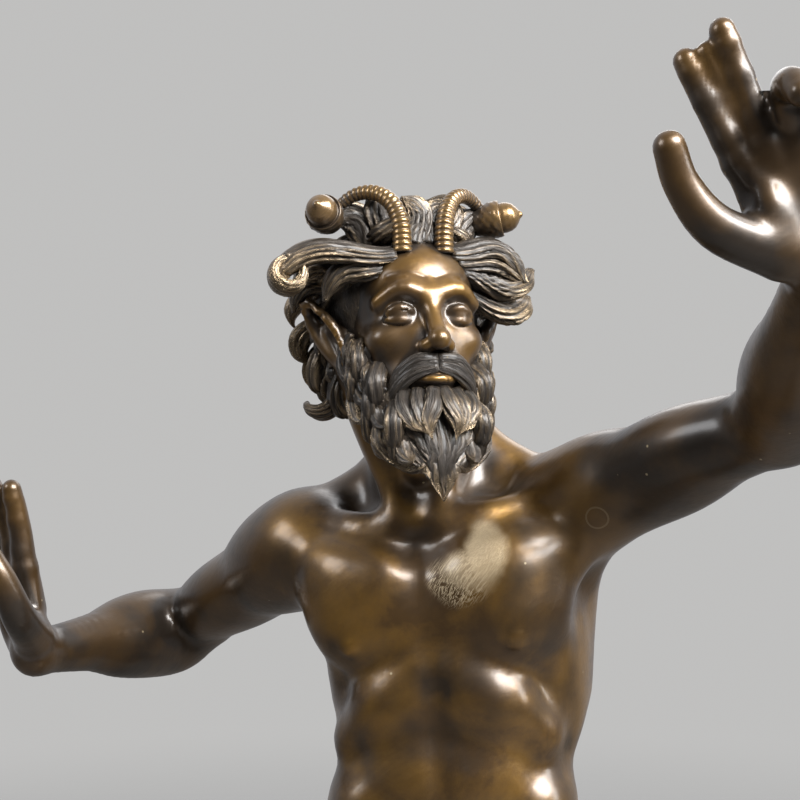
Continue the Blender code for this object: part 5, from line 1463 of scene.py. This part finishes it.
def lengthOf(tree, place):
    return put(tree, "ShaderNodeVectorMath", {0: place}, operation="LENGTH").outputs["Value"]


def blendOf(tree, share, a, b):
    return put(tree, "ShaderNodeMix", {0: share, 6: a, 7: b}, data_type="RGBA").outputs[2]


def noiseOf(tree, place, scale, detail, rough=0.5, distortion=0.0):
    inputs = {"Vector": place, "Scale": scale, "Detail": detail, "Roughness": rough, "Distortion": distortion}
    return put(tree, "ShaderNodeTexNoise", inputs).outputs[0]


def attributeOf(tree, name, output="Fac"):
    return put(tree, "ShaderNodeAttribute", attribute_name=name).outputs[output]


def group(tree, kind, inputs):
    return put(tree, "ShaderNodeGroup", inputs, node_tree=kind).outputs


def stepOf(tree, value, low, high, first=0.0, last=1.0):
    return put(tree, "ShaderNodeMapRange", {0: value, 1: low, 2: high, 3: first, 4: last},
               interpolation_type="SMOOTHSTEP").outputs[0]


# Clouded patina: gold where it is rubbed, brown between, near black in the hollows, where the dark patina is
# deepened by painted shade
def makePatinaAndShade():
    tree, given, out = nodeGroup(
        "cloudedPatinaAndShade",
        [("Vector", "Vector", None), ("Proud", "Float", 0.0), ("Hollow", "Float", 0.0),
         ("Gold", "Color", (0.4, 0.25, 0.08, 1)), ("Brown", "Color", (0.15, 0.08, 0.03, 1)),
         ("Deep", "Color", (0.03, 0.025, 0.02, 1)), ("Cloud Size", "Float", 22.0), ("Rub", "Float", 0.5),
         ("Dark From", "Float", 0.1), ("Dark To", "Float", 0.6), ("Worn", "Float", 1.0)],
        [("Colour", "Color"), ("Gold Share", "Float"), ("Dark Share", "Float")])
    cloud = noiseOf(tree, given["Vector"], given["Cloud Size"], 5.0, 0.52, 0.5)
    fine = noiseOf(tree, given["Vector"], 240.0, 4.0, 0.7)
    rub = productOf(tree, given["Proud"], given["Rub"])
    cloudy = sumOf(tree, "ADD", rub, stepOf(tree, cloud, 0.22, 0.80, -0.30, 0.95))
    cloudy = sumOf(tree, "ADD", cloudy, stepOf(tree, fine, 0.3, 0.7, -0.07, 0.07))
    # The hollows lose their gold and go dark: painted shade, over the dark patina there
    dimmed = productOf(tree, given["Hollow"], sumOf(tree, "DIVIDE", 0.8, given["Dark To"]))
    gold = productOf(tree, sumOf(tree, "SUBTRACT", cloudy, dimmed, True), given["Worn"])
    darkCloud = noiseOf(tree, given["Vector"], 30.0, 4.0, 0.52)
    hollows = stepOf(tree, given["Hollow"], given["Dark From"], given["Dark To"])
    dark = sumOf(tree, "ADD", hollows, stepOf(tree, darkCloud, 0.40, 0.72, 0.0, 0.85), True)
    dark = sumOf(tree, "ADD", dark, stepOf(tree, given["Worn"], 0.0, 1.0, 0.30, 0.0), True)
    dark = sumOf(tree, "SUBTRACT", dark, productOf(tree, given["Proud"], 0.5), True)
    colour = blendOf(tree, gold, given["Brown"], given["Gold"])
    colour = blendOf(tree, dark, colour, given["Deep"])
    tree.links.new(colour, out["Colour"])
    tree.links.new(gold, out["Gold Share"])
    tree.links.new(dark, out["Dark Share"])
    return tree


# Fine brushed scratches that run one way
def makeScratches():
    tree, given, out = nodeGroup(
        "fineScratches",
        [("Vector", "Vector", None), ("Size", "Float", 400.0), ("Lean", "Vector", (0.0, 0.6, 0.3))],
        [("Height", "Float")])
    turned = put(tree, "ShaderNodeMapping", {"Vector": given["Vector"], "Rotation": given["Lean"],
                                             "Scale": (1.0, 1.0, 16.0)}, vector_type="TEXTURE").outputs[0]
    lines = noiseOf(tree, turned, given["Size"], 2.0, 0.6)
    tree.links.new(stepOf(tree, lines, 0.42, 0.62), out["Height"])
    return tree


# Pale crumbs of old polish and tiny pits
def makeSpecks():
    tree, given, out = nodeGroup(
        "paleSpecks", [("Vector", "Vector", None), ("Size", "Float", 160.0), ("Share", "Float", 0.1)],
        [("Mask", "Float")])
    cell = put(tree, "ShaderNodeTexVoronoi", {"Vector": given["Vector"], "Scale": given["Size"]})
    dot = stepOf(tree, cell.outputs["Distance"], 0.05, 0.16, 1.0, 0.0)
    pick = put(tree, "ShaderNodeSeparateColor", {0: cell.outputs["Color"]}).outputs[0]
    chosen = put(tree, "ShaderNodeMath", {0: pick, 1: given["Share"]}, operation="LESS_THAN").outputs[0]
    tree.links.new(productOf(tree, dot, chosen), out["Mask"])
    return tree


# A soft-edged patch round one place on the bronze
def makePatch():
    tree, given, out = nodeGroup(
        "roundPatch", [("Vector", "Vector", None), ("Middle", "Vector", (0, 0, 0)), ("Reach", "Float", 0.03),
                       ("Stretch", "Vector", (1, 1, 1))], [("Mask", "Float"), ("Distance", "Float")])
    away = given["Vector"]
    for operation, by in (("SUBTRACT", given["Middle"]), ("MULTIPLY", given["Stretch"])):
        away = put(tree, "ShaderNodeVectorMath", {0: away, 1: by}, operation=operation).outputs[0]
    far = lengthOf(tree, away)
    ragged = stepOf(tree, noiseOf(tree, given["Vector"], 60.0, 5.0), 0.3, 0.7, -0.12, 0.12)
    edge = sumOf(tree, "ADD", sumOf(tree, "DIVIDE", far, given["Reach"]), ragged)
    tree.links.new(stepOf(tree, edge, 0.55, 1.1, 1.0, 0.0), out["Mask"])
    tree.links.new(far, out["Distance"])
    return tree


# The carver's fine lines between the strands, along each lock
def makeStrands():
    tree, given, out = nodeGroup(
        "carvedStrands", [("Vector", "Vector", None), ("Size", "Float", 1.0)],
        [("Height", "Float"), ("Crest", "Float")])
    broad = noiseOf(tree, given["Vector"], given["Size"], 2.0)
    fine = noiseOf(tree, given["Vector"], productOf(tree, given["Size"], 2.7), 2.0, 0.6)
    height = sumOf(tree, "ADD", productOf(tree, broad, 0.6), productOf(tree, fine, 0.4))
    tree.links.new(height, out["Height"])
    tree.links.new(stepOf(tree, height, 0.44, 0.60), out["Crest"])
    return tree


patinaAndShade, scratches, specks = makePatinaAndShade(), makeScratches(), makeSpecks()
patch, strandLines = makePatch(), makeStrands()

# What a user would change of the bronze's colours and gloss
bronze = {
    "gold": (0.300, 0.160, 0.032, 1),
    "brown": (0.076, 0.040, 0.012, 1),
    # near black: the dark clouds of the patina, the less rubbed limbs, and the painted shade in hollows and
    # grooves
    "deep": (0.024, 0.016, 0.010, 1),
    "dark": (0.10, 0.62),  # the share of hollow where the painted shade begins, and where it is full
    "metallic": (0.55, 0.85),  # where it is brown, where it is gold
    "rough": (0.36, 0.46),  # on gold, in the dark
    "coat": 0.80,
    "coatRoughness": 0.25,
    "cloudSize": 21.0,
    "rub": 0.60,
    "specks": 0.035,
    # How fine the crumbs, the scratches, the brushing of the rubbed, highlight-painted patches and the grain
    # are
    "speckSize": 210.0,
    "scratchSize": 520.0,
    "brushSize": 2100.0,
    "grainSize": 90.0,
    "relief": 0.25,
    "crumb": (0.34, 0.27, 0.16, 1),
    # the pale colour of the rubbed patches on the chest, which is also a painted highlight
    "rubbedAndHighlight": (0.52, 0.41, 0.26, 1),
    # Pale patches on the upper chest: rubbed bronze, with a painted highlight where the top window's
    # reflection falls. Middle, reach, stretch, and how solid it is between the strokes
    "rubbedAndHighlightPatches": (((0.0075, -0.007, 0.5800), 0.0125, (1.25, 0.5, 0.78), 0.85),
                      ((0.0010, -0.007, 0.5720), 0.0105, (0.72, 0.5, 1.15), 0.60),
                      ((-0.0055, -0.007, 0.5670), 0.0115, (0.80, 0.5, 1.05), 0.0)),
    "plugMark": (0.0545, -0.0103, 0.5942),
    "plugRing": (0.0048, 0.0004),  # its radius and half its width
    "plugColour": (0.24, 0.17, 0.09, 1),
}
hairBronze = dict(bronze, gold=(0.360, 0.265, 0.160, 1), brown=(0.120, 0.092, 0.066, 1),
                  deep=(0.026, 0.022, 0.019, 1), dark=(0.22, 0.85), metallic=(0.50, 0.85), rub=0.55,
                  rough=(0.27, 0.42), coat=0.30, coatRoughness=0.22, relief=0.9)
hornBronze = dict(hairBronze, gold=(0.30, 0.18, 0.065, 1), brown=(0.10, 0.064, 0.034, 1), rub=0.45,
                  coat=0.6, relief=bronze["relief"])
baseBronze = dict(bronze, gold=(0.130, 0.082, 0.032, 1), brown=(0.052, 0.036, 0.020, 1), rub=0.3)


def bronzeMaterial(name, look, marks=False, strands=False):
    material = bpy.data.materials.new(name)
    material.use_nodes = True
    tree = material.node_tree
    surface = tree.nodes["Principled BSDF"]
    place = put(tree, "ShaderNodeTexCoord").outputs["Object"]
    looks = group(tree, patinaAndShade, {
        "Vector": place, "Proud": attributeOf(tree, "proud"), "Hollow": attributeOf(tree, "hollow"),
        "Worn": attributeOf(tree, "worn"), "Gold": look["gold"], "Brown": look["brown"], "Deep": look["deep"],
        "Cloud Size": look["cloudSize"], "Rub": look["rub"],
        "Dark From": look["dark"][0], "Dark To": look["dark"][1],
    })
    strewn = {"Vector": place, "Size": look["speckSize"], "Share": look["specks"]}
    crumbs = group(tree, specks, strewn)["Mask"]
    fine = {"Vector": place, "Size": look["scratchSize"], "Lean": (0.3, 0.9, 0.2)}
    lines = group(tree, scratches, fine)["Height"]
    colour = blendOf(tree, crumbs, looks["Colour"], look["crumb"])
    rough = stepOf(tree, looks["Dark Share"], 0.0, 1.0, look["rough"][0], look["rough"][1])
    rough = sumOf(tree, "ADD", rough, productOf(tree, lines, 0.05))
    metal = stepOf(tree, looks["Gold Share"], 0.0, 1.0, look["metallic"][0], look["metallic"][1])
    grain = noiseOf(tree, place, look["grainSize"], 5.0, 0.55)
    height = sumOf(tree, "ADD", productOf(tree, lines, 0.12), grain)
    if strands:
        carved = group(tree, strandLines, {"Vector": attributeOf(tree, "strands", "Vector"), "Size": 1.5})
        # The fine grooves between the strands are painted darker: shade in the grooves, with dark patina in
        # them too
        valley = sumOf(tree, "SUBTRACT", 1.0, carved["Crest"])
        colour = blendOf(tree, productOf(tree, valley, 0.50), colour, look["deep"])
        height = sumOf(tree, "ADD", productOf(tree, height, 0.2), productOf(tree, carved["Height"], 2.0))
    if marks:
        brushed = {"Vector": place, "Size": look["brushSize"], "Lean": (0.0, 0.62, 0.0)}
        strokes = group(tree, scratches, brushed)["Height"]
        # The pale patches on the chest: rubbed bronze and a painted highlight of the window
        rubbedAndHighlight = None
        for middle, reach, stretch, solid in look["rubbedAndHighlightPatches"]:
            where = {"Vector": place, "Middle": middle, "Reach": reach, "Stretch": stretch}
            one = group(tree, patch, where)["Mask"]
            one = productOf(tree, one, stepOf(tree, strokes, 0.0, 1.0, solid, 1.0))
            rubbedAndHighlight = one if rubbedAndHighlight is None else sumOf(tree, "MAXIMUM", rubbedAndHighlight, one)
        colour = blendOf(tree, productOf(tree, rubbedAndHighlight, 0.85), colour, look["rubbedAndHighlight"])
        rough = sumOf(tree, "ADD", rough, productOf(tree, rubbedAndHighlight, 0.12))
        height = sumOf(tree, "ADD", height, productOf(tree, strokes, productOf(tree, rubbedAndHighlight, 0.5)))
        plug = group(tree, patch, {"Vector": place, "Middle": look["plugMark"]})
        radius, width = look["plugRing"]
        where = {0: plug["Distance"], 1: radius, 2: width}
        ring = put(tree, "ShaderNodeMath", where, operation="COMPARE").outputs[0]
        colour = blendOf(tree, productOf(tree, ring, 0.5), colour, look["plugColour"])
        height = sumOf(tree, "SUBTRACT", height, productOf(tree, ring, 0.6))
    bump = put(tree, "ShaderNodeBump", {"Height": height, "Strength": look["relief"], "Distance": 0.0006})
    tree.links.new(colour, surface.inputs["Base Color"])
    tree.links.new(rough, surface.inputs["Roughness"])
    tree.links.new(metal, surface.inputs["Metallic"])
    tree.links.new(bump.outputs[0], surface.inputs["Normal"])
    surface.inputs["Coat Weight"].default_value = look["coat"]
    surface.inputs["Coat Roughness"].default_value = look["coatRoughness"]
    surface.inputs["Coat IOR"].default_value = 1.5
    return material


figure.data.materials.append(bronzeMaterial("waxedBronze", bronze, marks=True))
darkHair = bronzeMaterial("chasedBronze", hairBronze, strands=True)
for piece in hairPieces:
    piece.data.materials.append(darkHair)
hornPiece.data.materials.append(bronzeMaterial("hornBronze", hornBronze))
basePiece.data.materials.append(bronzeMaterial("baseBronze", baseBronze))
print("finishes made")

# The studio
studio = {
    "camera": (-0.02931, -0.58396, 0.6444),
    "fieldOfView": 33.03,
    "backdrop": (0.527, 0.524, 0.518, 1),
    "floor": (0.34, 0.34, 0.335, 1),
    "floorMirrored": (0.10, 0.09, 0.08, 1),
    "floorRadius": 2.2,
    "floorFade": (0.9, 2.1),
    "floorRoughness": 0.7,
    "frontToBack": (0.10, 0.62),  # how bright the mirrored room is
    "lowToHigh": (0.55, 1.25),
    "lights": (  # name, place, looks at, width, height, watts, tint
        ("topWindow", (0.80, -0.85, 1.55), (0, 0, 0.55), 1.10, 0.75, 80, (1.0, 1.0, 1.0)),
        ("rightWindow", (1.30, -0.35, 1.15), (0, 0, 0.55), 0.35, 0.90, 12, (0.95, 0.98, 1.0)),
        ("leftWindow", (-1.25, -0.50, 1.35), (0, 0, 0.55), 0.50, 0.60, 8, (0.95, 0.97, 1.0)),
        ("backWindow", (0.5, 1.35, 1.5), (0, 0, 0.55), 1.2, 0.8, 5, (1.0, 1.0, 1.0)),
    ),
}


def makeStudio():
    scene = bpy.context.scene
    camera = bpy.data.cameras.new("camera")
    camera.angle = math.radians(studio["fieldOfView"])
    camera.clip_start = 0.01
    holder = bpy.data.objects.new("camera", camera)
    holder.location = studio["camera"]
    holder.rotation_euler = (math.radians(90), 0, 0)
    scene.collection.objects.link(holder)
    scene.camera = holder
    for name, place, target, width, height, watts, tint in studio["lights"]:
        light = bpy.data.lights.new(name, "AREA")
        light.shape, light.size, light.size_y = "RECTANGLE", width, height
        light.energy, light.color = watts, tint
        lamp = bpy.data.objects.new(name, light)
        lamp.location = place
        lamp.rotation_euler = (Vector(target) - Vector(place)).to_track_quat("-Z", "Y").to_euler()
        scene.collection.objects.link(lamp)


# Pale all round for the camera; in reflections a dim room in front, a bright wall behind and above
def makeWorld():
    world = bpy.data.worlds.new("paleRoom")
    bpy.context.scene.world = world
    world.use_nodes = True
    tree = world.node_tree
    background = tree.nodes["Background"]
    way = put(tree, "ShaderNodeTexCoord").outputs["Generated"]
    parts = put(tree, "ShaderNodeSeparateXYZ", {0: way}).outputs
    behind = stepOf(tree, parts[1], -0.5, 0.7, *studio["frontToBack"])
    above = stepOf(tree, parts[2], -0.3, 0.9, *studio["lowToHigh"])
    room = productOf(tree, behind, above)
    tone = put(tree, "ShaderNodeCombineColor", {0: room, 1: room, 2: productOf(tree, room, 1.04)}).outputs[0]
    seen = put(tree, "ShaderNodeLightPath").outputs["Is Camera Ray"]
    tree.links.new(blendOf(tree, seen, tone, studio["backdrop"]), background.inputs[0])
    background.inputs[1].default_value = 1.0


def makeFloor():
    mesh = bpy.data.meshes.new("floor")
    bm = bmesh.new()
    bmesh.ops.create_circle(bm, cap_ends=True, segments=96, radius=studio["floorRadius"])
    bm.to_mesh(mesh)
    bm.free()
    floor = newObject("paleFloor", mesh, bpy.context.scene.collection)
    material = bpy.data.materials.new("paleFloor")
    material.use_nodes = True
    tree = material.node_tree
    surface = tree.nodes["Principled BSDF"]
    surface.inputs["Roughness"].default_value = studio["floorRoughness"]
    mirrored = put(tree, "ShaderNodeLightPath").outputs["Is Glossy Ray"]  # the bronze mirrors a dimmer floor
    colour = blendOf(tree, mirrored, studio["floor"], studio["floorMirrored"])
    tree.links.new(colour, surface.inputs["Base Color"])
    place = put(tree, "ShaderNodeTexCoord").outputs["Object"]
    fade = stepOf(tree, lengthOf(tree, place), *studio["floorFade"], 1.0, 0.0)
    tree.links.new(fade, surface.inputs["Alpha"])
    mesh.materials.append(material)


makeStudio()
makeWorld()
makeFloor()
bpy.context.scene.view_settings.view_transform = "Standard"
print("studio set")
